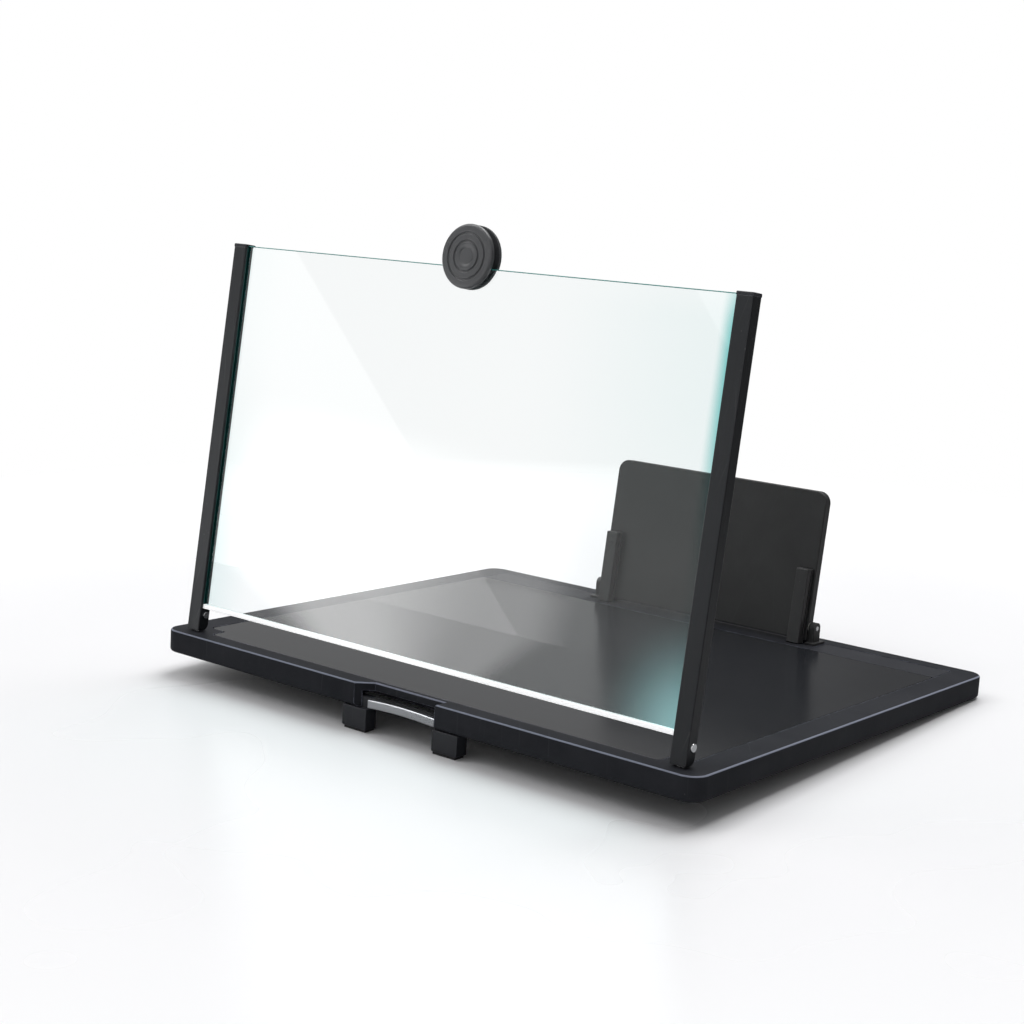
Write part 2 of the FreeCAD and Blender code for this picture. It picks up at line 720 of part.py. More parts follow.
# ---------------------------------------------------------------- front stand pieces
def stand_leg():
    """Right-hand leg with its hinge lug; the toe comes forward to the front face."""
    front = stand_pin_y - stand_lug_r
    upper = box(leg_inner, leg_outer, front, stand_rear, -base_t - 1, web_top)
    lug = box(leg_outer - stand_lug_w, leg_outer, front, stand_rear, web_top, stand_pin_z)
    barrel = rod_x(stand_lug_r, leg_outer - stand_lug_w, leg_outer, stand_pin_y, stand_pin_z)
    barrel = barrel.common(box(0, base_w, 0, stand_rear, -base_t, 0))
    lower = box(leg_inner, leg_outer, 0, stand_rear, leg_bottom, -base_t - gap)
    outer_edge = edges_where(lower, lambda e: lies_at(e, "X", leg_outer)
                             and lies_at(e, "Z", leg_bottom))
    lower = lower.makeChamfer(leg_taper, outer_edge)
    return upper.fuse([lug, barrel, lower]).removeSplitter()


def stand_frame():
    leg = stand_leg()
    web = box(-leg_inner - web_lap, leg_inner + web_lap, bar_set_back + bar_t, stand_rear,
              web_top - web_t, web_top)
    frame = web.fuse([leg, mirror(leg)]).removeSplitter()
    pin_holes = []
    for sign in (-1, 1):
        x0, x1 = sorted((sign * (leg_outer - stand_lug_w + lug_bore_skin), sign * (leg_outer + 1)))
        pin_holes.append(rod_x(stand_pin_r + slip, x0, x1, stand_pin_y, stand_pin_z))
    return frame.cut(pin_holes)


def stand_bar():
    """Bright arched grip on the front of the web."""
    half = leg_inner - bar_to_leg
    top, bottom = web_top - bar_below_web_top, web_top - web_t - bar_below_web

    def p(x, z):
        return V(x, bar_set_back, z)

    arch_top = Part.Arc(p(-half, top), p(0, top + bar_arch), p(half, top)).toShape()
    arch_bottom = Part.Arc(p(half, bottom), p(0, bottom + bar_arch), p(-half, bottom)).toShape()
    ends = [Part.makeLine(p(half, top), p(half, bottom)), Part.makeLine(p(-half, bottom), p(-half, top))]
    face = Part.Face(Part.Wire([arch_top, ends[0], arch_bottom, ends[1]]))
    grip = face.extrude(V(0, bar_t, 0))
    return grip.makeFillet(bar_edge, edges_where(grip, lambda e: lies_at(e, "Y", bar_set_back)
                                             and e.Length > 10))


def stand_pins():
    pins = []
    for sign in (-1, 1):
        x0, x1 = sorted((sign * (leg_outer - stand_lug_w + lug_bore_skin + screw_tip_gap),
                         sign * (bay_outer + boss_w - boss_skin)))
        pins.append(rod_x(stand_pin_r, x0, x1, stand_pin_y, stand_pin_z))
    return pins


def stand_tips():
    tips = []
    for sign in (-1, 1):
        x0, x1 = sorted((sign * (leg_inner + tip_inset), sign * (leg_outer - leg_taper - tip_inset)))
        tip = box(x0, x1, tip_inset, stand_rear - tip_inset, leg_bottom - 5, leg_bottom)
        tips.append(tip.cut(floor_block()))
    return tips


# ---------------------------------------------------------------- assembly
def pair(shape):
    return Part.makeCompound([shape, mirror(shape)])


def group(shapes):
    return Part.makeCompound(shapes)


def build():
    right_post, right_cap, right_liner = post(), post_cap(), glazing_strip()
    strip, bar, lug = rear_strip(), rest_bar(), rest_lug()
    washers = pane_washers()
    nodes = {
        "deck_frame": deck_frame(),
        "deck_panel": deck_panel(),
        "rear_strip_left": mirror(strip),
        "rear_strip_right": strip,
        "bottom_cover": bottom_cover(),
        "case_screws": group(case_screws()),
        "stiffener_plate": stiffener(),
        "rear_pads": group(rear_pads()),
        "pane_lug_left": pane_lug(-post_x),
        "pane_lug_right": pane_lug(post_x),
        "pane_lug_screws": group(pane_lug_screws()),
        "post_left": on_pane(mirror(right_post)),
        "post_right": on_pane(right_post),
        "post_cap_left": on_pane(mirror(right_cap)),
        "post_cap_right": on_pane(right_cap),
        "glass_pane": on_pane(glass_pane()),
        "glazing_strip_left": on_pane(mirror(right_liner)),
        "glazing_strip_right": on_pane(right_liner),
        "glass_edge_guard": on_pane(edge_guard()),
        "pane_hinge_pins": on_pane(pair(pane_pin())),
        "pane_friction_washers": on_pane(group(washers + [mirror(w) for w in washers])),
        "clamp_front_disc": on_pane(clamp_front_disc()),
        "clamp_screw": on_pane(clamp_screw()),
        "clamp_rear_disc": on_pane(clamp_rear_disc()),
        "clamp_spacer": on_pane(clamp_spacer()),
        "clamp_pads": on_pane(group(clamp_pads())),
        "rest_plate": on_rest(rest_plate()),
        "rest_bar_left": on_rest(mirror(bar)),
        "rest_bar_right": on_rest(bar),
        "rest_bar_screws": on_rest(group(rest_bar_screws())),
        "rest_lug_left": mirror(lug),
        "rest_lug_right": lug,
        "rest_lug_screws": group(rest_lug_screws()),
        "rest_hinge_pins": pair(rest_pin()),
        "rest_friction_washers": pair(rest_washer()),
        "stand_frame": stand_frame(),
        "stand_bar": stand_bar(),
        "stand_pins": group(stand_pins()),
        "stand_tips": group(stand_tips()),
    }
    return {name: stand_up(shape) for name, shape in nodes.items()}


def standing_point(y, z):
    """Where a point of the deck frame comes to when the object stands on its feet."""
    a = math.radians(tilt)
    dy, dz = y - tip_y, z - tip_z
    return dy * math.cos(a) + dz * math.sin(a), dz * math.cos(a) - dy * math.sin(a)


# The footprint runs from the toes' lower front edge to the base's back face.
foot_front = standing_point(0, leg_bottom)[0]
foot_back = standing_point(base_d, -top_edge_r)[0] + top_edge_r * (1 - math.cos(math.radians(tilt)))
centre_y = (foot_front + foot_back) / 2


def stand_up(shape):
    """Tip the object back on to its feet and centre its footprint on the origin."""
    placed = shape.copy()
    placed.translate(V(0, -tip_y, -tip_z))
    placed.rotate(V(0, 0, 0), V(1, 0, 0), -tilt)
    placed.translate(V(0, -centre_y, 0))
    return placed


if __name__ == "__main__":
    os.makedirs("parts", exist_ok=True)
    for name, shape in build().items():
        shape.exportStep(os.path.join("parts", name + ".step"))
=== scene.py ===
import json
import math

import bmesh
import bpy
from bpy.props import FloatProperty, FloatVectorProperty, IntProperty, PointerProperty
from bpy.types import Operator, Panel, PropertyGroup
from mathutils import Euler, Matrix, Vector


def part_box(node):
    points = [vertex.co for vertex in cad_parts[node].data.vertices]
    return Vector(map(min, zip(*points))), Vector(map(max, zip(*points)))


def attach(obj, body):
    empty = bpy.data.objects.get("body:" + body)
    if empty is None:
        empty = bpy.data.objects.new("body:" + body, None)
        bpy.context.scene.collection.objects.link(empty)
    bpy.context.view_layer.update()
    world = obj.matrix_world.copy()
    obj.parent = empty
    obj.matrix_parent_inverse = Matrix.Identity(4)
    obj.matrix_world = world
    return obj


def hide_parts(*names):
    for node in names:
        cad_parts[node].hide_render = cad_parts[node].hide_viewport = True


bl_info = {
    "name": "Tabletop Teleprompter",
    "version": (1, 0, 0),
    "blender": (4, 5, 0),
    "location": "3D View > Sidebar > Prompter",
    "description": "Models and finishes a folding tabletop teleprompter on its CAD frame",
    "category": "Add Mesh",
}

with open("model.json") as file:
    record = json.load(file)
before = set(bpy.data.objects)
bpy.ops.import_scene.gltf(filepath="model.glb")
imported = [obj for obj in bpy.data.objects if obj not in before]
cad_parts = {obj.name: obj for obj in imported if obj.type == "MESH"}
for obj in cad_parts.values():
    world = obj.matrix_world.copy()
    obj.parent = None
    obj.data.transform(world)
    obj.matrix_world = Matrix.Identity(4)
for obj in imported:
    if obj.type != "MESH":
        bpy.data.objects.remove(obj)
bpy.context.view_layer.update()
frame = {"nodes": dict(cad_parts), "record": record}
MM = 0.001


# ------------------------------------------------------------------ places
def leaned_axes(node):
    """Axes of a leaned sheet, across, back and up its length, read from its largest face."""
    face = max(frame["nodes"][node].data.polygons, key=lambda polygon: polygon.area)
    back = face.normal.normalized()
    if back.y < 0:
        back.negate()
    across = Vector((1, 0, 0))
    return Matrix((across, back, across.cross(back))).transposed()


def deck_axes():
    """Axes of the deck, across, back and up, from the record's phone shelf."""
    shelf = next(m for m in frame["record"]["mounts"] if m["name"] == "phone_shelf")
    up = Vector(shelf["axis"]).normalized()
    across = Vector((1, 0, 0))
    return Matrix((across, up.cross(across), up)).transposed()


def extent(node, axes):
    """Lowest and highest corner of a node, measured along its own axes."""
    points = [axes.transposed() @ v.co for v in frame["nodes"][node].data.vertices]
    return Vector(map(min, *points)), Vector(map(max, *points))


PANE = leaned_axes("glass_pane")
REST = leaned_axes("rest_plate")
DECK = deck_axes()
WHITE_FROM = (0.26, 0.62)  # distances over which the floor turns plain white


# ------------------------------------------------------------------ meshes
def block(low, high):
    """A bmesh box between two corners."""
    bm = bmesh.new()
    bmesh.ops.create_cube(bm, size=1.0)
    bmesh.ops.scale(bm, vec=high - low, verts=bm.verts)
    bmesh.ops.translate(bm, vec=(low + high) / 2, verts=bm.verts)
    return bm


def disc_blank(radius, thickness, sides):
    """A round plate lying on z = 0, its rim in one ring of faces."""
    bm = bmesh.new()
    bmesh.ops.create_circle(bm, cap_ends=True, radius=radius, segments=sides)
    rim = bmesh.ops.extrude_face_region(bm, geom=bm.faces[:])
    top = [e for e in rim["geom"] if isinstance(e, bmesh.types.BMVert)]
    bmesh.ops.translate(bm, vec=(0, 0, thickness), verts=top)
    bmesh.ops.recalc_face_normals(bm, faces=bm.faces)
    return bm


def cap_face(bm, sign):
    """The outermost face that looks along z, up or down."""
    flat = [f for f in bm.faces if f.normal.z * sign > 0.9]
    return max(flat, key=lambda f: f.calc_center_median().z * sign)


def step_in(bm, face, by, drop=0.0):
    """Insets a cap face and moves it along z."""
    bmesh.ops.inset_region(bm, faces=[face], thickness=by, use_even_offset=True)
    bmesh.ops.translate(bm, vec=(0, 0, drop), verts=face.verts)
    return face


def ring_edges(bm, picks):
    """Edges whose two ends lie at one of the given radius and height pairs."""
    def at(vert, radius, height):
        return abs(vert.co.xy.length - radius) < 2e-5 and abs(vert.co.z - height) < 2e-5
    return [e for e in bm.edges if any(all(at(v, r, z) for v in e.verts) for r, z in picks)]


def soften(bm, edges, width, segments=3):
    """Rounds edges over."""
    bmesh.ops.bevel(bm, geom=edges, offset=width, offset_type="OFFSET", segments=segments,
                    profile=0.5, affect="EDGES", material=-1, clamp_overlap=True)


def split(bm, place, normal, **settings):
    """Cuts every face that crosses a plane."""
    return bmesh.ops.bisect_plane(bm, geom=bm.verts[:] + bm.edges[:] + bm.faces[:],
                                  plane_co=place, plane_no=normal, **settings)


def raise_faces(bm, faces, by):
    """Extrudes faces as one patch and moves them."""
    grown = bmesh.ops.extrude_face_region(bm, geom=faces)
    bmesh.ops.delete(bm, geom=faces, context="FACES_ONLY")
    moved = [v for v in grown["geom"] if isinstance(v, bmesh.types.BMVert)]
    bmesh.ops.translate(bm, vec=by, verts=moved)


def finish_piece(name, bm, axes, body, materials, replaced=()):
    """Turns a bmesh into an object in its place, riding on its body."""
    bmesh.ops.remove_doubles(bm, verts=bm.verts, dist=1e-6)
    bmesh.ops.recalc_face_normals(bm, faces=bm.faces)
    mesh = bpy.data.meshes.new(name)
    bm.to_mesh(mesh)
    bm.free()
    mesh.transform(axes.to_4x4())
    for material in materials:
        mesh.materials.append(material)
    mesh.shade_smooth()
    mesh.set_sharp_from_angle(angle=math.radians(50))
    piece = bpy.data.objects.new(name, mesh)
    bpy.context.scene.collection.objects.link(piece)
    even = piece.modifiers.new("Even shading", "WEIGHTED_NORMAL")
    even.keep_sharp = True
    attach(piece, body)
    if replaced:
        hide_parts(*replaced)
    return piece


def dress(material, *nodes):
    """Gives CAD nodes their finished material."""
    for node in nodes:
        slots = frame["nodes"][node].material_slots
        for slot in slots:
            slot.material = material


# ------------------------------------------------------------------ shader nodes
def put(tree, kind, inputs=None, **settings):
    """Adds a shader node; an input is a value or another node's output."""
    node = tree.nodes.new("ShaderNode" + kind)
    node.location = (200 * (len(tree.nodes) % 8), -260 * (len(tree.nodes) // 8))
    for key, value in settings.items():
        setattr(node, key, value)
    for key, value in (inputs or {}).items():
        if isinstance(value, bpy.types.NodeSocket):
            tree.links.new(value, node.inputs[key])
        else:
            node.inputs[key].default_value = value
    return node


def calc(tree, operation, a, b=0.0, c=0.0):
    return put(tree, "Math", {0: a, 1: b, 2: c}, operation=operation).outputs[0]


def fade(tree, value, low, high, start=0.0, end=1.0):
    """Value mapped smoothly from low..high to start..end."""
    inputs = {"Value": value, "From Min": low, "From Max": high, "To Min": start, "To Max": end}
    return put(tree, "MapRange", inputs, interpolation_type="SMOOTHSTEP").outputs["Result"]


def swing_fade(tree, swing, low, high, start, end):
    """A smooth step over an angle round the z axis, in degrees."""
    return fade(tree, swing, math.radians(low), math.radians(high), start, end)


def tint(tree, factor, a, b):
    return put(tree, "Mix", {0: factor, 6: a, 7: b}, data_type="RGBA").outputs[2]


def either(tree, factor, a, b):
    """Value a where the factor is 0 and b where it is 1."""
    return put(tree, "Mix", {0: factor, 2: a, 3: b}, data_type="FLOAT").outputs[0]


def product(tree, *factors):
    result = factors[0]
    for factor in factors[1:]:
        result = calc(tree, "MULTIPLY", result, factor)
    return result


def dot(tree, a, b):
    return put(tree, "VectorMath", {0: a, 1: b}, operation="DOT_PRODUCT").outputs["Value"]


def size_of(tree, vector):
    return put(tree, "VectorMath", {0: vector}, operation="LENGTH").outputs["Value"]


def noise(tree, vector, scale, detail=2.0, roughness=0.5, distortion=0.0):
    inputs = {"Vector": vector, "Scale": scale, "Detail": detail, "Roughness": roughness,
              "Distortion": distortion}
    return put(tree, "TexNoise", inputs).outputs["Fac"]


def stretched(tree, vector, scale, turn=(0.0, 0.0, 0.0)):
    inputs = {"Vector": vector, "Rotation": turn, "Scale": scale}
    return put(tree, "Mapping", inputs, vector_type="TEXTURE").outputs["Vector"]


def effect(name, inputs, outputs):
    """A new node group with named sockets; returns its tree, its inputs and its end node."""
    tree = bpy.data.node_groups.new(name, "ShaderNodeTree")
    for label, (kind, value) in inputs.items():
        socket = tree.interface.new_socket(label, in_out="INPUT", socket_type="NodeSocket" + kind)
        socket.default_value = value
    for label, kind in outputs.items():
        tree.interface.new_socket(label, in_out="OUTPUT", socket_type="NodeSocket" + kind)
    start = tree.nodes.new("NodeGroupInput")
    end = tree.nodes.new("NodeGroupOutput")
    return tree, start.outputs, end


def join(tree, end, **sockets):
    for label, socket in sockets.items():
        tree.links.new(socket, end.inputs[label])


ORIGIN = (0.0, 0.0, 0.0)
BLACK = (0.0, 0.0, 0.0, 1.0)
GREY = (0.5, 0.5, 0.5, 1.0)
WHITE = (1.0, 1.0, 1.0, 1.0)


def moulded_grain():
    """Spark-eroded mould texture: fine pits, broad mottling, uneven sheen."""
    tree, given, end = effect(
        "Moulded Grain",
        {"Vector": ("Vector", ORIGIN), "Colour": ("Color", GREY), "Roughness": ("Float", 0.4),
         "Grain Size": ("Float", 0.0005), "Mottle": ("Float", 0.2)},
        {"Colour": "Color", "Roughness": "Float", "Height": "Float"})
    scale = calc(tree, "DIVIDE", 1.0, given["Grain Size"])
    fine = noise(tree, given["Vector"], scale, 2.0, 0.6)
    pits = put(tree, "TexVoronoi", {"Vector": given["Vector"], "Scale": scale}).outputs["Distance"]
    broad = noise(tree, given["Vector"], 22.0, 5.0, 0.6, 0.4)
    height = calc(tree, "ADD", fine, calc(tree, "MULTIPLY", pits, 0.6))
    dark = tint(tree, given["Mottle"], given["Colour"], BLACK)
    light = tint(tree, product(tree, given["Mottle"], 0.06), given["Colour"], WHITE)
    patch = fade(tree, calc(tree, "MULTIPLY_ADD", fine, 0.35, broad), 0.45, 0.9)
    sway = calc(tree, "MULTIPLY", calc(tree, "SUBTRACT", broad, 0.5), given["Mottle"])
    shine = calc(tree, "MULTIPLY_ADD", sway, 0.5, given["Roughness"])
    shine = calc(tree, "MULTIPLY_ADD", calc(tree, "SUBTRACT", fine, 0.5), 0.05, shine)
    join(tree, end, Colour=tint(tree, patch, dark, light), Roughness=shine, Height=height)
    return tree


def edge_wear_and_highlight():
    """Rounds the look of sharp edges and lightens them where hands rub; strong lightening is also a
    painted edge highlight.
    """
    tree, given, end = effect(
        "Edge Wear and Highlight",
        {"Vector": ("Vector", ORIGIN), "Colour": ("Color", GREY), "Wear and Highlight Colour": ("Color", GREY),
         "Width": ("Float", 0.0006), "Amount": ("Float", 0.5)},
        {"Colour": "Color", "Mask": "Float", "Normal": "Vector"})
    rounded = put(tree, "Bevel", {"Radius": given["Width"]}, samples=4).outputs["Normal"]
    flat = put(tree, "NewGeometry").outputs["Normal"]
    edge = fade(tree, calc(tree, "SUBTRACT", 1.0, dot(tree, rounded, flat)), 0.01, 0.16)
    rub = fade(tree, noise(tree, given["Vector"], 160.0, 4.0, 0.65), 0.35, 0.62, 0.25, 1.0)
    mask = product(tree, edge, rub, given["Amount"])
    join(tree, end, Colour=tint(tree, mask, given["Colour"], given["Wear and Highlight Colour"]), Mask=mask,
         Normal=rounded)
    return tree


def handling_marks():
    """Smudges, hairline scratches and a little dust."""
    tree, given, end = effect(
        "Handling Marks",
        {"Vector": ("Vector", ORIGIN), "Colour": ("Color", GREY), "Roughness": ("Float", 0.4),
         "Amount": ("Float", 0.5)},
        {"Colour": "Color", "Roughness": "Float", "Scratch": "Float"})
    smudge = fade(tree, noise(tree, given["Vector"], 26.0, 5.0, 0.55, 1.2), 0.48, 0.72)
    lines = []
    for turn, length in ((0.5, 0.05), (-0.9, 0.035)):
        along = stretched(tree, given["Vector"], (length, 0.0006, length), (0.0, 0.0, turn))
        lines.append(fade(tree, noise(tree, along, 1.0, 1.0), 0.70, 0.76))
    scratch = product(tree, calc(tree, "MAXIMUM", *lines), given["Amount"])
    cells = put(tree, "TexVoronoi", {"Vector": given["Vector"], "Scale": 420.0}).outputs
    sparse = fade(tree, noise(tree, given["Vector"], 60.0, 2.0), 0.56, 0.70)
    dust = product(tree, fade(tree, cells["Distance"], 0.16, 0.06), sparse, given["Amount"], 0.22)
    shine = calc(tree, "MULTIPLY_ADD", product(tree, smudge, given["Amount"]), 0.06,
                 given["Roughness"])
    shine = calc(tree, "MULTIPLY_ADD", scratch, -0.08, shine)
    pale = tint(tree, product(tree, scratch, 0.05), given["Colour"], (0.6, 0.6, 0.6, 1.0))
    join(tree, end, Colour=tint(tree, dust, pale, (0.55, 0.54, 0.52, 1.0)), Roughness=shine,
         Scratch=scratch)
    return tree


def drawn_lines():
    """Fine lines left along a drawn or brushed metal bar; the lines run along z."""
    tree, given, end = effect(
        "Drawn Lines",
        {"Vector": ("Vector", ORIGIN), "Colour": ("Color", GREY), "Roughness": ("Float", 0.35),
         "Spacing": ("Float", 0.0003), "Strength": ("Float", 0.3)},
        {"Colour": "Color", "Roughness": "Float", "Height": "Float"})
    spacing = put(tree, "CombineXYZ", {"X": given["Spacing"], "Y": given["Spacing"],
                                       "Z": product(tree, given["Spacing"], 180.0)})
    along = put(tree, "VectorMath", {0: given["Vector"], 1: spacing.outputs[0]},
                operation="DIVIDE").outputs["Vector"]
    line = noise(tree, along, 1.0, 3.0, 0.7)
    cloud = noise(tree, given["Vector"], 30.0, 4.0, 0.6)
    shade = product(tree, fade(tree, line, 0.3, 0.75), given["Strength"])
    deep = tint(tree, 0.45, given["Colour"], BLACK)
    shine = calc(tree, "MULTIPLY_ADD", calc(tree, "SUBTRACT", line, 0.5), 0.25, given["Roughness"])
    shine = calc(tree, "MULTIPLY_ADD", calc(tree, "SUBTRACT", cloud, 0.5), 0.18, shine)
    join(tree, end, Colour=tint(tree, shade, given["Colour"], deep), Roughness=shine, Height=line)
    return tree


def pane_tint_and_painted_glow():
    """Body colour of the coated glass, strongest beside its right edge, and a painted glow at its
    lower right corner.
    """
    tree, given, end = effect(
        "Pane Tint and Painted Light",
        {"Vector": ("Vector", ORIGIN), "Clear": ("Color", GREY), "Teal": ("Color", GREY),
         "Half Width": ("Float", 0.135), "Foot": ("Float", 0.035)},
        {"Colour": "Color", "Glow": "Float", "Height": "Float"})
    parts = put(tree, "SeparateXYZ", {"Vector": given["Vector"]}).outputs
    right = calc(tree, "SUBTRACT", given["Half Width"], parts["X"])
    left = calc(tree, "ADD", given["Half Width"], parts["X"])
    rise = calc(tree, "SUBTRACT", parts["Z"], given["Foot"])
    upper = product(tree, fade(tree, rise, 0.05, 0.13, 0.15, 1.0),
                    fade(tree, rise, 0.155, 0.178, 1.0, 0.35))
    rim = product(tree, fade(tree, right, 0.003, 0.012, 1.0, 0.0), upper)
    haze = product(tree, fade(tree, right, 0.0, 0.11, 0.14, 0.0), upper)
    foot = product(tree, fade(tree, left, 0.0, 0.035, 0.22, 0.0),
                   fade(tree, rise, 0.02, 0.12, 1.0, 0.2))
    side = fade(tree, left, 0.003, 0.006, 0.8, 0.0)
    amount = rim
    for part in (haze, foot, side):
        amount = calc(tree, "MAXIMUM", amount, part)
    drift = fade(tree, noise(tree, given["Vector"], 9.0, 3.0), 0.3, 0.7, 0.8, 1.0)
    colour = tint(tree, product(tree, amount, drift), given["Clear"], given["Teal"])
    # painted glow: teal light that fades out within about 52 mm of the glass's lower right corner
    corner = put(tree, "CombineXYZ", {"X": right, "Y": product(tree, rise, 0.9)}).outputs[0]
    glow = product(tree, fade(tree, size_of(tree, corner), 0.0, 0.052, 1.0, 0.0), drift)
    join(tree, end, Colour=colour, Glow=product(tree, glow, glow),
         Height=noise(tree, given["Vector"], 14.0, 1.0))
    return tree


EFFECTS = {}


def use(tree, maker, inputs):
    """Places a shared effect in a material with its own values."""
    if maker not in EFFECTS:
        EFFECTS[maker] = maker()
    return put(tree, "Group", inputs, node_tree=EFFECTS[maker]).outputs


# ------------------------------------------------------------------ materials
def new_material(name):
    """An empty material with its object coordinates, Principled shader and output."""
    material = bpy.data.materials.new(name)
    material.use_nodes = True
    tree = material.node_tree
    tree.nodes.clear()
    where = put(tree, "TexCoord").outputs["Object"]
    shader = put(tree, "BsdfPrincipled")
    out = put(tree, "OutputMaterial", {"Surface": shader.outputs["BSDF"]})
    return material, tree, where, shader, out


def rgba(colour):
    return (*colour, 1.0)


def scaled(colour, factor):
    """A colour made lighter, held below white."""
    return [min(1.0, c * factor) for c in colour]


def connect(tree, shader, colour, roughness, bump):
    """Feeds a Principled shader its colour, roughness and bumped normal."""
    for key, socket in (("Base Color", colour), ("Roughness", roughness),
                        ("Normal", bump.outputs["Normal"])):
        tree.links.new(socket, shader.inputs[key])


def satin_plastic(name, colour, roughness, grain=0.3, pit=0.006, wear=0.5, marks=0.4, mottle=0.12,
                  coat=0.0, lighter=4.0, specular=0.25, painted_highlight=0.0):
    """Moulded plastic: grain of that size and pit depth in millimetres, edges lightened as wear and
    as a painted highlight, marks.

    The last argument paints a highlight: a lighter band on the rounded edge between the deck and
    its sides.
    """
    material, tree, where, shader, _ = new_material(name)
    mould = use(tree, moulded_grain, {
        "Vector": where, "Colour": rgba(colour), "Roughness": roughness,
        "Grain Size": grain * MM, "Mottle": mottle})
    # colour of the lightened edges: rubbed wear, and on the rounded top edges a painted highlight
    wear_and_highlight_colour = rgba(scaled(colour, lighter))
    rim = use(tree, edge_wear_and_highlight, {
        "Vector": where, "Colour": mould["Colour"], "Wear and Highlight Colour": wear_and_highlight_colour, "Width": 0.5 * MM,
        "Amount": wear})
    surface = rim["Colour"]
    # painted highlight: a lighter band where the surface turns half up, on the rounded top edges
    if painted_highlight:
        facing = dot(tree, put(tree, "NewGeometry").outputs["Normal"], tuple(DECK.col[2]))
        band = product(tree, fade(tree, facing, 0.30, 0.60), fade(tree, facing, 0.985, 0.93),
                       painted_highlight)
        surface = tint(tree, band, surface, wear_and_highlight_colour)
    hand = use(tree, handling_marks, {
        "Vector": where, "Colour": surface, "Roughness": mould["Roughness"], "Amount": marks})
    relief = calc(tree, "MULTIPLY_ADD", hand["Scratch"], -0.6, mould["Height"])
    bump = put(tree, "Bump", {"Strength": 0.5, "Distance": pit * MM, "Height": relief,
                              "Normal": rim["Normal"]})
    connect(tree, shader, hand["Colour"], hand["Roughness"], bump)
    shader.inputs["Specular IOR Level"].default_value = specular
    shader.inputs["Coat Weight"].default_value = coat
    shader.inputs["Coat Roughness"].default_value = 0.12
    return material


def drawn_metal(name, colour, roughness, metallic=1.0, turn=ORIGIN, spacing=0.3, strength=0.5,
                wear=0.4, lighter=2.2):
    """Drawn or brushed metal; turn brings its lines along the piece's length."""
    material, tree, where, shader, _ = new_material(name)
    along = put(tree, "Mapping", {"Vector": where, "Rotation": turn}).outputs["Vector"]
    lines = use(tree, drawn_lines, {
        "Vector": along, "Colour": rgba(colour), "Roughness": roughness,
        "Spacing": spacing * MM, "Strength": strength})
    rim = use(tree, edge_wear_and_highlight, {
        "Vector": where, "Colour": lines["Colour"], "Wear and Highlight Colour": rgba(scaled(colour, lighter)),
        "Width": 0.35 * MM, "Amount": wear})
    hand = use(tree, handling_marks, {
        "Vector": where, "Colour": rim["Colour"], "Roughness": lines["Roughness"], "Amount": 0.4})
    bump = put(tree, "Bump", {"Strength": 0.35, "Distance": 0.01 * MM, "Height": lines["Height"],
                              "Normal": rim["Normal"]})
    connect(tree, shader, hand["Colour"], hand["Roughness"], bump)
    shader.inputs["Metallic"].default_value = metallic
    return material


def soft_rubber(name, colour, roughness=0.75):
    """Matt rubber with a fine bloom and rubbed edges."""
    return satin_plastic(name, colour, roughness, pit=0.02, wear=0.35, marks=0.3, mottle=0.3,
                         lighter=2.5)


def coated_glass(name, clear, teal):
    """Clear sheet glass whose body colour deepens to teal near its sides and foot, with a painted
    teal glow near its lower right corner.
    """
    material, tree, where, shader, out = new_material(name)
    low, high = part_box("glass_pane")
    coat = use(tree, pane_tint_and_painted_glow, {
        "Vector": where, "Clear": rgba(clear), "Teal": rgba(teal), "Half Width": high.x,
        "Foot": low.z})
    smear = use(tree, handling_marks, {"Vector": where, "Roughness": 0.0, "Amount": 0.05})
    bump = put(tree, "Bump", {"Strength": 0.12, "Distance": 0.01 * MM, "Height": coat["Height"]})
    connect(tree, shader, coat["Colour"], smear["Roughness"], bump)
    # painted glow: the glass emits teal light near its lower right corner, though it is no lamp
    tree.links.new(product(tree, coat["Glow"], 0.22), shader.inputs["Emission Strength"])
    shader.inputs["Emission Color"].default_value = (0.42, 0.86, 0.88, 1.0)
    shader.inputs["IOR"].default_value = 1.5
    shader.inputs["Transmission Weight"].default_value = 1.0
    path = put(tree, "LightPath").outputs
    passing = calc(tree, "MAXIMUM", path["Is Shadow Ray"], path["Is Diffuse Ray"])
    through = put(tree, "BsdfTransparent", {"Color": (0.90, 0.95, 0.945, 1.0)})
    mixed = put(tree, "MixShader", {0: passing, 1: shader.outputs["BSDF"],
                                    2: through.outputs["BSDF"]})
    tree.links.new(mixed.outputs["Shader"], out.inputs["Surface"])
    return material


# ------------------------------------------------------------------ settings
class FinishSettings(PropertyGroup):
    case_colour: FloatVectorProperty(
        name="Case", description="Colour of the deck frame and bottom cover", subtype="COLOR",
        default=(0.0150, 0.0160, 0.0200), min=0, max=1)
    panel_colour: FloatVectorProperty(
        name="Deck panel", description="Colour of the glossier panel let into the deck",
        subtype="COLOR", default=(0.009, 0.0098, 0.012), min=0, max=1)
    rest_colour: FloatVectorProperty(
        name="Phone rest", description="Colour of the plate and its two bars", subtype="COLOR",
        default=(0.024, 0.024, 0.025), min=0, max=1)
    post_colour: FloatVectorProperty(
        name="Posts", description="Colour of the anodised posts", subtype="COLOR",
        default=(0.010, 0.0115, 0.014), min=0, max=1)
    knob_colour: FloatVectorProperty(
        name="Clamp discs", description="Colour of the clamp's two discs", subtype="COLOR",
        default=(0.054, 0.056, 0.060), min=0, max=1)
    grip_colour: FloatVectorProperty(
        name="Grip bar", description="Colour of the bar on the front stand", subtype="COLOR",
        default=(0.40, 0.41, 0.43), min=0, max=1)


